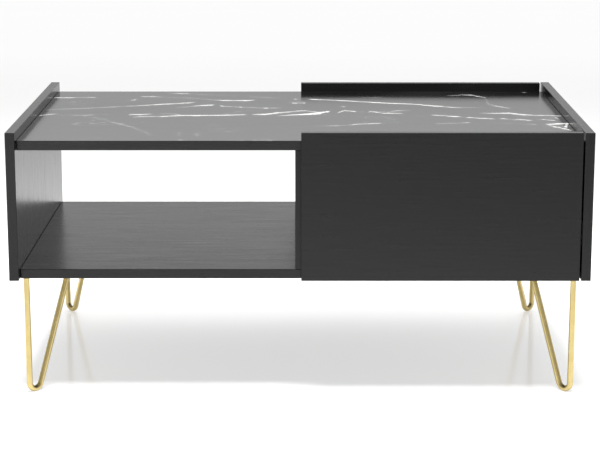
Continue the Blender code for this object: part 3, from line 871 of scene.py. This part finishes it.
@dataclass
class Repeated:
    """Small parts set out on points, each facing its own way, made by Geometry Nodes."""

    name: str

    def _sizes(self) -> dict[str, float]:
        """The group's size inputs, by name."""
        raise NotImplementedError

    def _shape(self, canvas: Canvas, sizes: Node) -> Socket:
        """One part's geometry, from the group's inputs."""
        raise NotImplementedError

    def _tree(self, material: Material) -> NodeTree:
        """The node group that sets the parts out on a mesh's points.

        Args:
            material: Their finish.

        Returns:
            The group.
        """
        tree = bpy.data.node_groups.new(f"{self.name}_set_out", "GeometryNodeTree")
        canvas = Canvas(tree)
        tree.interface.new_socket("Geometry", in_out="INPUT", socket_type="NodeSocketGeometry")
        for size in self._sizes():
            tree.interface.new_socket(size, in_out="INPUT", socket_type="NodeSocketFloat")
        tree.interface.new_socket("Geometry", in_out="OUTPUT", socket_type="NodeSocketGeometry")
        sizes = canvas.node("NodeGroupInput")
        aim = canvas.node("GeometryNodeInputNamedAttribute", {"Name": "aim"}, data_type="FLOAT_VECTOR")
        faced = canvas.node("FunctionNodeAlignRotationToVector", {"Vector": aim.outputs[0]}, axis="Z")
        turn = canvas.node(
            "FunctionNodeRandomValue", {2: 0.0, 3: math.pi / 2, "Seed": SPIN_SEED}, data_type="FLOAT"
        )
        spin = canvas.node("FunctionNodeAxisAngleToRotation", {"Angle": turn.outputs[1]})
        turned = canvas.node(
            "FunctionNodeRotateRotation",
            {0: faced.outputs[0], 1: spin.outputs[0]},
            rotation_space="LOCAL",
        )
        placed = canvas.node(
            "GeometryNodeInstanceOnPoints",
            {
                "Points": sizes.outputs["Geometry"], "Instance": self._shape(canvas, sizes),
                "Rotation": turned.outputs[0],
            },
        )
        real = canvas.node("GeometryNodeRealizeInstances", {0: placed.outputs[0]})
        painted = canvas.node(
            "GeometryNodeSetMaterial", {"Geometry": real.outputs[0], "Material": material}
        )
        canvas.node("NodeGroupOutput", {0: painted.outputs[0]})
        return tree

    def set_out(
        self, places: Sequence[tuple[Point, Point]], material: Material, body: Body, slot: str,
        replaced: Iterable[str] = (),
    ) -> None:
        """Makes one plain mesh with a part at each place, and fixes it to its body.

        Args:
            places: (point, direction that the part faces) pairs.
            material: The finish.
            body: What the parts ride on.
            slot: A material slot's name; not used.
            replaced: CAD nodes that the parts stand for.
        """
        points = bpy.data.meshes.new(f"{self.name}_points")
        points.from_pydata([point for point, _ in places], [], [])
        aim = points.attributes.new("aim", "FLOAT_VECTOR", "POINT")
        for entry, (_, direction) in zip(aim.data, places):
            entry.vector = direction
        host = bpy.data.objects.new(f"{self.name}_host", points)
        bpy.context.scene.collection.objects.link(host)
        modifier = host.modifiers.new("set_out", "NODES")
        modifier.node_group = self._tree(material)
        sizes = self._sizes()
        for item in modifier.node_group.interface.items_tree:
            if item.in_out == "INPUT" and item.name in sizes:
                modifier[item.identifier] = sizes[item.name]
        bpy.context.view_layer.update()
        graph = bpy.context.evaluated_depsgraph_get()
        mesh = bpy.data.meshes.new_from_object(host.evaluated_get(graph))
        host.modifiers.clear()
        bpy.data.objects.remove(host)
        mesh.name = self.name
        settle(shown(mesh), body, replaced)


@dataclass
class Ball(Repeated):
    """Steel balls of a runner."""

    radius: float = 0.0015
    fineness: int = 2

    def _sizes(self) -> dict[str, float]:
        """The group's size inputs, by name."""
        return {"Radius": self.radius}

    def _shape(self, canvas: Canvas, sizes: Node) -> Socket:
        """One ball, round the origin."""
        radius = Value(canvas, sizes.outputs["Radius"])
        ball = canvas.node(
            "GeometryNodeMeshIcoSphere", {"Radius": radius, "Subdivisions": self.fineness}
        )
        return ball.outputs["Mesh"]


@dataclass
class Fastener(Repeated):
    """Screws, or round stops, whose heads face along each point's direction."""

    head_radius: float
    head_height: float
    shank_radius: float
    shank_length: float
    recessed: bool = True
    sides: int = 24
    crown: float = 0.74  # top of the head, as a share of its rim
    tip: float = 0.5  # end of the shank, as a share of its start
    overlap: float = 0.1  # share of the head's height that the shank reaches into
    recess_length: float = 1.05  # the cross, as shares of the head's radius and height
    recess_width: float = 0.24
    recess_depth: float = 1.3

    def _sizes(self) -> dict[str, float]:
        """The group's size inputs, by name."""
        return {
            "Head Radius": self.head_radius,
            "Head Height": self.head_height,
            "Shank Radius": self.shank_radius,
            "Shank Length": self.shank_length,
        }

    def _shape(self, canvas: Canvas, sizes: Node) -> Socket:
        """One fastener with its head's seat at the origin and its head towards +Z.

        Args:
            canvas: The tree.
            sizes: The group's inputs.

        Returns:
            The fastener's geometry.
        """
        radius = Value(canvas, sizes.outputs["Head Radius"])
        height = Value(canvas, sizes.outputs["Head Height"])
        shank = Value(canvas, sizes.outputs["Shank Radius"])
        length = Value(canvas, sizes.outputs["Shank Length"])
        head = canvas.node(
            "GeometryNodeMeshCone",
            {
                "Vertices": self.sides, "Side Segments": 2, "Radius Top": radius * self.crown,
                "Radius Bottom": radius, "Depth": height,
            },
        ).outputs["Mesh"]
        if self.recessed:
            head = self._recess(canvas, head, radius, height)
        stem = canvas.node(
            "GeometryNodeMeshCone",
            {
                "Vertices": self.sides // 2, "Radius Top": shank, "Radius Bottom": shank * self.tip,
                "Depth": length,
            },
        )
        down = canvas.node("ShaderNodeCombineXYZ", {"Z": length * -1 + height * self.overlap})
        lowered = canvas.node(
            "GeometryNodeTransform", {"Geometry": stem.outputs["Mesh"], "Translation": down.outputs[0]}
        )
        joined = canvas.node("GeometryNodeJoinGeometry")
        for part in (head, lowered.outputs[0]):
            canvas.tree.links.new(part, joined.inputs[0])
        return joined.outputs[0]

    def _recess(self, canvas: Canvas, head: Any, radius: Value, height: Value) -> Socket:
        """Cuts a cross into a head.

        Args:
            canvas: The tree.
            head: The head's geometry.
            radius: The head's radius.
            height: The head's height.

        Returns:
            The cut head.
        """
        up = canvas.node("ShaderNodeCombineXYZ", {"Z": height}).outputs[0]
        cut = canvas.node("GeometryNodeMeshBoolean", {"Mesh 1": head}, operation="DIFFERENCE")
        for long_axis, short_axis in (("X", "Y"), ("Y", "X")):
            size = canvas.node(
                "ShaderNodeCombineXYZ",
                {
                    long_axis: radius * self.recess_length, short_axis: radius * self.recess_width,
                    "Z": height * self.recess_depth,
                },
            )
            blade = canvas.node("GeometryNodeMeshCube", {"Size": size.outputs[0]})
            raised = canvas.node(
                "GeometryNodeTransform", {"Geometry": blade.outputs["Mesh"], "Translation": up}
            )
            canvas.tree.links.new(raised.outputs[0], cut.inputs["Mesh 2"])
        return cut.outputs[0]


# ------------------------------------------------------------- sub-assemblies


@dataclass
class Carcass:
    """The boards and the fittings that hold them together."""

    finishes: Finishes
    lengthwise: tuple[str, ...] = ("bottom_shelf", "back_panel")
    uprights: tuple[str, ...] = ("side_panel_left", "side_panel_right", "divider")
    levels: tuple[str, ...] = ("top", "shelf")

    def build(self) -> None:
        """Dresses the boards, cams, bolts and screws."""
        for node in self.lengthwise:
            dress(node, self.finishes.along_x)
        for node in self.uprights:
            dress(node, self.finishes.upright)
        dress("table_top", self.finishes.marble)
        for level in self.levels:
            for side in ("left", "right"):
                for end in ("front", "back"):
                    dress(f"cam_disc_{level}_{side}_{end}", self.finishes.zinc)
                    dress(f"cam_bolt_{level}_{side}_{end}", self.finishes.steel)
        for end in ("front", "back"):
            dress(f"divider_screw_{end}", self.finishes.steel)


@dataclass
class HairpinLeg:
    """One bent rod with its plate, two weld beads and three screws."""

    end: str
    side: str
    finishes: Finishes
    rod_radius: float = 0.005
    bend_radius: float = 0.012
    lean: float = math.radians(19.5)
    rod_sides: int = 40
    bend_steps: int = 36
    limb_steps: int = 6
    bead_radius: float = 0.0008
    bead_ripples: int = 11
    bead_swell: float = 0.18  # share of the bead's radius that each ripple adds
    bead_grip: float = 0.35  # share of it that lies outside the rod
    bead_sides: int = 8

    @property
    def corner(self) -> str:
        """The corner's name, as the nodes have it."""
        return f"{self.end}_{self.side}"

    @property
    def outward(self) -> Vector:
        """Unit vector from the leg towards the corner of the table."""
        return Vector((-1 if self.side == "left" else 1, -1 if self.end == "front" else 1, 0)).normalized()

    def _foot(self) -> Vector:
        """Where the upright limb's axis meets the floor."""
        low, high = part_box(f"leg_rod_{self.corner}")
        x = low.x + self.rod_radius if self.side == "left" else high.x - self.rod_radius
        y = low.y + self.rod_radius if self.end == "front" else high.y - self.rod_radius
        return Vector((x, y, 0.0))

    def _path(self, top: float) -> list[tuple[Vector, Vector]]:
        """The rod's axis as (point, direction) pairs, across and up in the leg's own plane.

        Args:
            top: Height of the rod's ends.

        Returns:
            The pairs, from the upright limb's top round to the other limb's top.
        """
        bend_z = self.rod_radius + self.bend_radius
        path = []
        for step in range(self.limb_steps):
            share = step / self.limb_steps
            path.append((Vector((0.0, top + (bend_z - top) * share)), Vector((0.0, -1.0))))
        for step in range(self.bend_steps + 1):
            swept = (math.pi - self.lean) * step / self.bend_steps
            point = Vector(
                (
                    self.bend_radius * (1 - math.cos(swept)),
                    bend_z - self.bend_radius * math.sin(swept),
                )
            )
            path.append((point, Vector((math.sin(swept), -math.cos(swept)))))
        last, along = path[-1]
        rise = (top - last.y) / along.y
        for step in range(1, self.limb_steps + 1):
            path.append((last + along * (rise * step / self.limb_steps), along))
        return path

    def _ring(self, foot: Vector, point: Vector, along: Vector, top: float) -> list[Vector]:
        """A ring of points round the rod, cut level where it meets the plate.

        Args:
            foot: Where the upright limb's axis meets the floor.
            point: Middle of the ring in the leg's plane.
            along: The rod's direction there.
            top: Height of the rod's ends.

        Returns:
            The ring's points.
        """
        inward = -self.outward
        side = inward.cross(Vector((0, 0, 1)))
        ring = []
        for step in range(self.rod_sides):
            angle = math.tau * step / self.rod_sides
            off = self.rod_radius * math.cos(angle)
            u = point.x - along.y * off
            z = point.y + along.x * off
            if abs(point.y - top) < WELD_DISTANCE:
                u += along.x / along.y * (top - z)
                z = top
            ring.append(foot + inward * u + side * (self.rod_radius * math.sin(angle)) + Vector((0, 0, z)))
        return ring

    def _bead(self, bm: BMesh, middle: Vector) -> None:
        """A rippled weld bead round one end of the rod.

        Args:
            bm: Where the bead goes.
            middle: Middle of the rod's end.
        """
        rings = []
        for step in range(self.rod_sides):
            angle = math.tau * step / self.rod_sides
            outward = Vector((math.cos(angle), math.sin(angle), 0))
            size = self.bead_radius * (1 + self.bead_swell * math.sin(self.bead_ripples * angle))
            ring = []
            for part in range(self.bead_sides):
                turn = math.tau * part / self.bead_sides
                reach = self.rod_radius + size * self.bead_grip + size * math.cos(turn)
                ring.append(middle + outward * reach + Vector((0, 0, size * (math.sin(turn) - 1))))
            rings.append(ring)
        skin(bm, rings, capped=False)

    def build(self) -> None:
        """Makes the rod and beads, and dresses the plate."""
        node = f"leg_rod_{self.corner}"
        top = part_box(node)[1].z
        foot = self._foot()
        path = self._path(top)
        bm = bmesh.new()
        skin(bm, [self._ring(foot, point, along, top) for point, along in path])
        rod = object_from(f"hairpin_rod_{self.corner}", bm, self.finishes.gold)
        settle(rod, Body.ROOT, [node])
        bm = bmesh.new()
        for point, _ in (path[0], path[-1]):
            self._bead(bm, foot - self.outward * point.x + Vector((0, 0, top)))
        beads = object_from(f"weld_beads_{self.corner}", bm, self.finishes.gold)
        settle(beads, Body.ROOT)
        dress(f"leg_plate_{self.corner}", self.finishes.gold)

    def screw_nodes(self) -> list[str]:
        """The CAD nodes of this leg's screws."""
        return [f"leg_screw_{self.corner}_{number}" for number in (1, 2, 3)]


@dataclass
class Legs:
    """The four hairpin legs and the screws that hold their plates."""

    finishes: Finishes
    screw: Fastener = field(
        default_factory=lambda: Fastener(
            "leg_plate_screws", head_radius=0.0034, head_height=0.0006, shank_radius=0.0017,
            shank_length=0.0118, crown=0.86,
        )
    )

    def build(self) -> None:
        """Makes the legs and their screws."""
        legs = [
            HairpinLeg(end, side, self.finishes)
            for end in ("front", "back")
            for side in ("left", "right")
        ]
        for leg in legs:
            leg.build()
        nodes = [node for leg in legs for node in leg.screw_nodes()]
        places = []
        for node in nodes:
            low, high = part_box(node)
            seat = ((low.x + high.x) / 2, (low.y + high.y) / 2, low.z + self.screw.head_height)
            places.append((seat, (0.0, 0.0, -1.0)))
        self.screw.set_out(places, self.finishes.steel, Body.ROOT, "plated_steel", nodes)


@dataclass
class Runner:
    """One telescopic ball runner: three nested sheet channels, two ball rows and its screws."""

    side: str
    finishes: Finishes
    sheet: float = 0.0012
    corner_radius: float = 0.0016
    corner_steps: int = 5
    ball_radius: float = 0.0015
    ball_step: float = 0.0095
    ball_count: int = 14
    ball_shift: float = 0.100  # a row's middle, from the middle member's middle
    cage_sheet: float = 0.0004
    cage_width: float = 0.0046
    cage_margin: float = 0.008
    screw_count: int = 3
    screw_inset: float = 0.045
    bumper_length: float = 0.0030
    bumper_corner: float = 0.0030
    corner_share: float = 0.6  # most of a half width that a round corner takes
    bumper_space: float = 0.0005
    bumper_nose: float = 0.0100
    cabinet_lip: float = 0.0024

    @property
    def inward(self) -> int:
        """Sign of X from the wall towards the drawer."""
        return 1 if self.side == "left" else -1

    @property
    def middle_body(self) -> Body:
        """The body that the middle member rides on."""
        return Body.MIDDLE_LEFT if self.side == "left" else Body.MIDDLE_RIGHT

    def _channel(self, node: str, opens: int, lip: float) -> Object:
        """A sheet channel with round bends, in the space of its CAD node.

        Args:
            node: The CAD node.
            opens: Sign of X that the channel opens towards.
            lip: Length of the turned-in lips, or 0.

        Returns:
            The member.
        """
        low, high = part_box(node)
        web = low.x if opens > 0 else high.x
        depth = high.x - low.x
        middle = (low.z + high.z) / 2
        half = (high.z - low.z) / 2
        line = [(depth, half - lip), (depth, half), (0.0, half), (0.0, -half), (depth, -half)]
        line.append((depth, lip - half))
        if not lip:
            line = line[1:-1]
        outer = self._rounded(line, self.corner_radius)
        inner = self._rounded(self._inset(line, lip), self.corner_radius - self.sheet)
        outline = outer + inner[::-1]
        bm = bmesh.new()
        ends = []
        for y in (low.y, high.y):
            ends.append([bm.verts.new((web + opens * x, y, middle + z)) for x, z in outline])
        count = len(outline)
        for step in range(count):
            after = (step + 1) % count
            bm.faces.new((ends[0][step], ends[0][after], ends[1][after], ends[1][step]))
        for row in ends:
            for step in range(len(outer) - 1):
                bm.faces.new((row[step], row[step + 1], row[count - 2 - step], row[count - 1 - step]))
        return object_from(f"{node}_sheet", bm, self.finishes.steel)

    def _inset(self, line: list[tuple[float, float]], lip: float) -> list[tuple[float, float]]:
        """The inner side of a channel's outline.

        Args:
            line: The outer side.
            lip: Length of the lips, or 0.

        Returns:
            The same corners moved in by the sheet's thickness.
        """
        inner = []
        for x, z in line:
            inner_x = x + self.sheet if x == 0.0 else (x - self.sheet if lip else x)
            is_tip = bool(lip) and abs(z) < max(abs(other) for _, other in line) - WELD_DISTANCE
            inner.append((inner_x, z if is_tip else z - math.copysign(self.sheet, z)))
        return inner

    def _rounded(self, line: list[tuple[float, float]], radius: float) -> list[tuple[float, float]]:
        """A line with arcs of one radius at its inner corners.

        Args:
            line: The corners, with free ends.
            radius: Radius of the arcs.

        Returns:
            The line's points.
        """
        points = [line[0]]
        for before, corner, after in zip(line, line[1:], line[2:]):
            here = Vector(corner)
            back = (Vector(before) - here).normalized()
            ahead = (Vector(after) - here).normalized()
            for step in range(self.corner_steps + 1):
                angle = math.pi / 2 * step / self.corner_steps
                reach = back * (1 - math.sin(angle)) + ahead * (1 - math.cos(angle))
                points.append(tuple(here + reach * radius))
        points.append(line[-1])
        return points

    def _ball_rows(self, which: str, x: float, z: float, middle: Vector) -> None:
        """A row of balls above and one below, each in its cage, at one end of the middle member.

        Args:
            which: "outer" for the rows in the cabinet member, which keep to the back, or "inner".
            x: Where the balls' centres are.
            z: Their height above and below the runner's middle.
            middle: The middle member's middle.
        """
        centre_y = middle.y + (self.ball_shift if which == "outer" else -self.ball_shift)
        half_run = self.ball_step * (self.ball_count - 1) / 2
        places = []
        bm = bmesh.new()
        for sign in (-1, 1):
            height = middle.z + sign * z
            for step in range(self.ball_count):
                y = centre_y - half_run + step * self.ball_step
                places.append(((x, y, height), (0.0, 0.0, float(sign))))
            self._cage(bm, Vector((x, centre_y, height)), half_run + self.cage_margin)
        balls = Ball(f"{which}_balls_{self.side}", self.ball_radius)
        balls.set_out(places, self.finishes.steel, self.middle_body, "plated_steel")
        cages = object_from(f"{which}_ball_cages_{self.side}", bm, self.finishes.zinc)
        settle(cages, self.middle_body)

    def _cage(self, bm: BMesh, centre: Vector, half_length: float) -> None:
        """A thin strip with round ends that carries a row of balls.

        Args:
            bm: Where the strip goes.
            centre: The strip's middle.
            half_length: Half its length.
        """
        half = self.cage_width / 2
        straight = half_length - half
        rings = []
        for z in (-self.cage_sheet / 2, self.cage_sheet / 2):
            ring = []
            for step in range(2 * ROUND_STEPS):
                angle = math.tau * (step + 0.5) / (2 * ROUND_STEPS)
                along = math.sin(angle)
                y = math.copysign(straight, along) + half * along
                ring.append(centre + Vector((half * math.cos(angle), y, z)))
            rings.append(ring)
        skin(bm, rings)

    def _bumper(self, drawer: str) -> None:
        """The moulded end stop that closes the runner's front end, with a nose in the drawer member. Its
        black plastic is partly painted shade: it darkens the narrow gap beside the drawer front, where the
        runner's steel would otherwise show.

        Args:
            drawer: The drawer member's CAD node.
        """
        low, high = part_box(f"runner_cabinet_{self.side}")
        in_low, in_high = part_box(drawer)
        wall = low.x if self.inward > 0 else high.x
        far = in_high.x if self.inward > 0 else in_low.x
        centre = Vector(((wall + far) / 2, 0.0, (low.z + high.z) / 2))
        half_x = abs(far - wall) / 2 - self.bumper_space / 2
        back = in_low.y - self.bumper_space
        chamfer = self.bumper_space
        bm = bmesh.new()
        outline = (
            (back - self.bumper_length, chamfer),
            (back - self.bumper_length + chamfer, 0.0),
            (back - chamfer, 0.0),
            (back, chamfer),
        )
        half_z = (high.z - low.z) / 2
        skin(bm, [self._rounded_ring(centre, y, half_x, half_z, inset) for y, inset in outline])
        inner = Vector(((in_low.x + in_high.x) / 2 - self.inward * self.sheet / 2, 0.0, centre.z))
        nose_x = (in_high.x - in_low.x - self.sheet) / 2 - self.bumper_space
        nose_z = (in_high.z - in_low.z) / 2 - self.sheet - self.bumper_space
        tip = back + self.bumper_nose
        outline = ((back - chamfer, 0.0), (tip - chamfer, 0.0), (tip, chamfer))
        skin(bm, [self._rounded_ring(inner, y, nose_x, nose_z, inset) for y, inset in outline])
        bumper = object_from(f"runner_bumper_gap_shade_{self.side}", bm, self.finishes.black_plastic_gap_shade)
        settle(bumper, Body.DRAWER)

    def _rounded_ring(
        self, centre: Vector, y: float, half_x: float, half_z: float, inset: float
    ) -> list[Vector]:
        """A rectangle with round corners, upright and facing along Y.

        Args:
            centre: Its middle in X and Z.
            y: Where it stands.
            half_x: Half its width.
            half_z: Half its height.
            inset: How much smaller it is all round.

        Returns:
            The ring's points.
        """
        corner = min(self.bumper_corner, half_x * self.corner_share)
        ring = []
        for step in range(4 * ROUND_STEPS):
            angle = math.tau * (step + 0.5) / (4 * ROUND_STEPS)
            x = math.copysign(half_x - corner, math.cos(angle)) + (corner - inset) * math.cos(angle)
            z = math.copysign(half_z - corner, math.sin(angle)) + (corner - inset) * math.sin(angle)
            ring.append(Vector((centre.x + x, y, centre.z + z)))
        return ring

    def _screws(self, name: str, node: str, body: Body, facing: int, seat_x: float) -> None:
        """Low-headed screws in a member's web.

        Args:
            name: The piece's name.
            node: The member's CAD node.
            body: What the screws ride on.
            facing: Sign of X that their heads face.
            seat_x: Where their heads sit.
        """
        low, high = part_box(node)
        run = high.y - low.y - 2 * self.screw_inset
        places = []
        for step in range(self.screw_count):
            y = low.y + self.screw_inset + run * step / (self.screw_count - 1)
            places.append(((seat_x, y, (low.z + high.z) / 2), (float(facing), 0.0, 0.0)))
        screw = Fastener(
            name, head_radius=0.0030, head_height=0.0011, shank_radius=0.0014, shank_length=0.0090
        )
        screw.set_out(places, self.finishes.steel, body, "plated_steel")

    def build(self) -> None:
        """Makes the three members, the balls and the screws."""
        roles = ("cabinet", "middle", "drawer")
        cabinet, middle, drawer = (f"runner_{role}_{self.side}" for role in roles)
        settle(self._channel(cabinet, self.inward, self.cabinet_lip), Body.ROOT, [cabinet])
        settle(self._channel(middle, self.inward, 0.0), self.middle_body, [middle])
        settle(self._channel(drawer, -self.inward, 0.0), Body.DRAWER, [drawer])

        outer_low, outer_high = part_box(cabinet)
        mid_low, mid_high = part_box(middle)
        in_low, in_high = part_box(drawer)
        centre = (mid_low + mid_high) / 2
        race = (outer_high.z - self.sheet + mid_high.z) / 2 - centre.z
        self._ball_rows("outer", centre.x, race, centre)
        race = (mid_high.z - self.sheet + in_high.z) / 2 - centre.z
        inner_x = (max(mid_low.x, in_low.x) + min(mid_high.x, in_high.x)) / 2
        self._ball_rows("inner", inner_x, race, centre)
        self._bumper(drawer)

        web = outer_low.x if self.inward > 0 else outer_high.x
        seat = web + self.inward * self.sheet
        self._screws(f"cabinet_runner_screws_{self.side}", cabinet, Body.ROOT, self.inward, seat)
        web = in_high.x if self.inward > 0 else in_low.x
        seat = web - self.inward * self.sheet
        self._screws(f"drawer_runner_screws_{self.side}", drawer, Body.DRAWER, -self.inward, seat)


@dataclass
class Drawer:
    """The drawer box, its front, its screws and the rubber stops behind the front."""

    finishes: Finishes
    stop: Fastener = field(
        default_factory=lambda: Fastener(
            "drawer_stops", head_radius=0.0040, head_height=0.0014, shank_radius=0.0010,
            shank_length=0.0002, recessed=False, sides=32, crown=0.8,
        )
    )
    wall_screw: Fastener = field(
        default_factory=lambda: Fastener(
            "drawer_box_screws", head_radius=0.0032, head_height=0.0004, shank_radius=0.0014,
            shank_length=0.0100, crown=0.9,
        )
    )
    screw_inset: float = 0.026
    stop_inset: float = 0.1  # share of the front's width

    def build(self) -> None:
        """Dresses the boards and adds the small pieces."""
        dress("drawer_front", self.finishes.along_x)
        for node in ("drawer_side_left", "drawer_side_right", "drawer_inner_front", "drawer_back"):
            dress(node, self.finishes.box_board)
        dress("drawer_base", self.finishes.base_board)
        for side in ("left", "right"):
            dress(f"front_screw_{side}", self.finishes.steel)
        self._stops()
        self._box_screws()

    def _stops(self) -> None:
        """Four clear stops between the front and the edges of top and shelf."""
        low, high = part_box("drawer_front")
        heights = []
        for board in ("table_top", "bottom_shelf"):
            board_low, board_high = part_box(board)
            heights.append((board_low.z + board_high.z) / 2)
        inset = (high.x - low.x) * self.stop_inset
        places = [
            ((x, high.y, z), (0.0, 1.0, 0.0)) for x in (low.x + inset, high.x - inset) for z in heights
        ]
        self.stop.set_out(places, self.finishes.rubber, Body.DRAWER, "white_plastic")

    def _box_screws(self) -> None:
        """Screws through the sides into the inner front and the back."""
        places = []
        for side, sign in (("left", -1), ("right", 1)):
            low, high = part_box(f"drawer_side_{side}")
            face = low.x if sign < 0 else high.x
            for board in ("drawer_inner_front", "drawer_back"):
                board_low, board_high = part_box(board)
                y = (board_low.y + board_high.y) / 2
                for z in (low.z + self.screw_inset / 2, high.z - self.screw_inset):
                    places.append(((face, y, z), (float(sign), 0.0, 0.0)))
        self.wall_screw.set_out(places, self.finishes.steel, Body.DRAWER, "plated_steel")


@dataclass
class PushLatch:
    """The housing on the back panel, its plunger and two screws."""

    finishes: Finishes
    screw: Fastener = field(
        default_factory=lambda: Fastener(
            "latch_screws", head_radius=0.0030, head_height=0.0016, shank_radius=0.0013,
            shank_length=0.0110,
        )
    )
    screw_spacing: float = 0.028
    flange: float = 0.003

    def build(self) -> None:
        """Dresses the latch and adds its screws."""
        dress("latch_housing", self.finishes.grey_plastic)
        dress("latch_plunger", self.finishes.white_plastic)
        low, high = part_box("latch_housing")
        centre = (low + high) / 2
        seat_y = high.y - self.flange
        places = [
            ((centre.x, seat_y, centre.z + sign * self.screw_spacing / 2), (0.0, -1.0, 0.0))
            for sign in (-1, 1)
        ]
        self.screw.set_out(places, self.finishes.steel, Body.ROOT, "plated_steel")


# --------------------------------------------------------------------- studio


@dataclass
class Studio:
    """Pale floor, soft light and the camera in front of the table."""

    eye: Point = (0.0, -3.35, 0.9645)
    pitch_down: float = math.radians(12.33)
    lens: float = 113.05
    floor_half: float = 30.0
    floor_glow: float = 0.42
    far_glow: float = 0.50
    glow_rise: tuple[float, float] = (2.6, 4.6)  # where, behind the table, the glow rises
    horizon: float = 0.56
    bright_band: float = 1.28
    upper_sky: float = 0.62
    zenith: float = 0.3
    bright_from: tuple[float, float] = (0.15, 0.19)  # heights of the sky's three changes
    bright_until: tuple[float, float] = (0.20, 0.28)
    dimmer_above: tuple[float, float] = (0.40, 0.80)
    sensor_width: float = 36.0
    far_clip: float = 200.0
    floor_roughness: float = 0.12
    floor_tones: tuple[Colour, Colour] = ((0.78, 0.78, 0.78), (0.80, 0.80, 0.80))
    # each soft box: name, place, target, side, watts, spread in degrees
    soft_boxes: tuple[tuple[str, Point, Point, float, float, float], ...] = (
        ("front_box", (-0.05, -0.80, 3.2), (0.0, 0.10, 0.0), 1.2, 40.0, 75.0),
        ("back_box", (0.1, 1.4, 2.3), (0.0, 0.10, 0.0), 2.2, 8.0, 65.0),
        ("left_box", (-1.9, -2.1, 1.3), (-0.85, -2.1, 0.0), 0.8, 14.0, 60.0),
    )

    def camera(self) -> None:
        """Places the camera."""
        data = bpy.data.cameras.new("camera")
        data.lens = self.lens
        data.sensor_width = self.sensor_width
        data.clip_end = self.far_clip
        camera = bpy.data.objects.new("camera", data)
        camera.location = self.eye
        camera.rotation_euler = (math.pi / 2 - self.pitch_down, 0.0, 0.0)
        bpy.context.scene.collection.objects.link(camera)
        bpy.context.scene.camera = camera

    def floor(self) -> None:
        """Lays a polished pale floor that gives a little light of its own, as a lit sweep does."""
        surface = Surface("studio_floor", self.floor_roughness)
        clouds = surface.noise(surface.place, 3.0, 2.0)
        surface.feed("Base Color", surface.mix(clouds, *self.floor_tones))
        along_y = Value(surface, surface.node("ShaderNodeSeparateXYZ", {0: surface.place}).outputs[1])
        near = (self.floor_glow / self.far_glow,) * 3
        glow = surface.mix(along_y.ease(*self.glow_rise), near, (1.0, 1.0, 1.0))
        surface.feed("Emission Color", glow)
        surface.shader.inputs["Emission Strength"].default_value = self.far_glow
        bm = bmesh.new()
        bmesh.ops.create_grid(bm, x_segments=4, y_segments=4, size=self.floor_half)
        floor = object_from("studio_floor", bm, surface.material)

    def light(self) -> None:
        """Fills the room with light that is brightest at the horizon, and hangs soft boxes in it."""
        world = bpy.data.worlds.new("studio")
        world.use_nodes = True
        sky = Canvas(world.node_tree)
        background = world.node_tree.nodes["Background"]
        background.inputs["Color"].default_value = (1.0, 1.0, 1.0, 1.0)
        direction = sky.node("ShaderNodeTexCoord").outputs["Generated"]
        split = sky.node("ShaderNodeSeparateXYZ", {0: direction})
        height = Value(sky, split.outputs[2])
        rise = height.ease(*self.bright_from) * (self.bright_band - self.horizon)
        drop = height.ease(*self.bright_until) * (self.bright_band - self.upper_sky)
        fall = height.ease(*self.dimmer_above) * (self.upper_sky - self.zenith)
        sky.tree.links.new((self.horizon + rise - drop - fall).socket, background.inputs["Strength"])
        bpy.context.scene.world = world
        for soft_box in self.soft_boxes:
            self._soft_box(*soft_box)

    @staticmethod
    def _soft_box(
        name: str, place: Point, target: Point, size: float, power: float, spread: float
    ) -> None:
        """Hangs one square area light.

        Args:
            name: The light's name.
            place: Where it hangs.
            target: What it faces.
            size: Length of its sides.
            power: Watts.
            spread: Degrees that its light fans out over.
        """
        data = bpy.data.lights.new(name, "AREA")
        data.size = size
        data.energy = power
        data.spread = math.radians(spread)
        light = bpy.data.objects.new(name, data)
        light.location = place
        light.rotation_euler = (Vector(target) - Vector(place)).to_track_quat("-Z", "Y").to_euler()
        light.visible_camera = False
        light.visible_glossy = False
        bpy.context.scene.collection.objects.link(light)

    def build(self) -> None:
        """Makes the whole studio."""
        self.floor()
        self.light()
        bpy.context.scene.view_settings.view_transform = "Standard"
        log.info("made the studio")


def main() -> None:
    """Builds the studio and the table, one sub-assembly at a time."""
    logging.basicConfig(level=logging.INFO, format="%(message)s")
    studio = Studio()
    studio.camera()
    finishes = Finishes()
    for assembly in (
        Carcass(finishes), Legs(finishes), Drawer(finishes), Runner("left", finishes),
        Runner("right", finishes), PushLatch(finishes), studio,
    ):
        assembly.build()


if __name__ == "__main__":
    main()
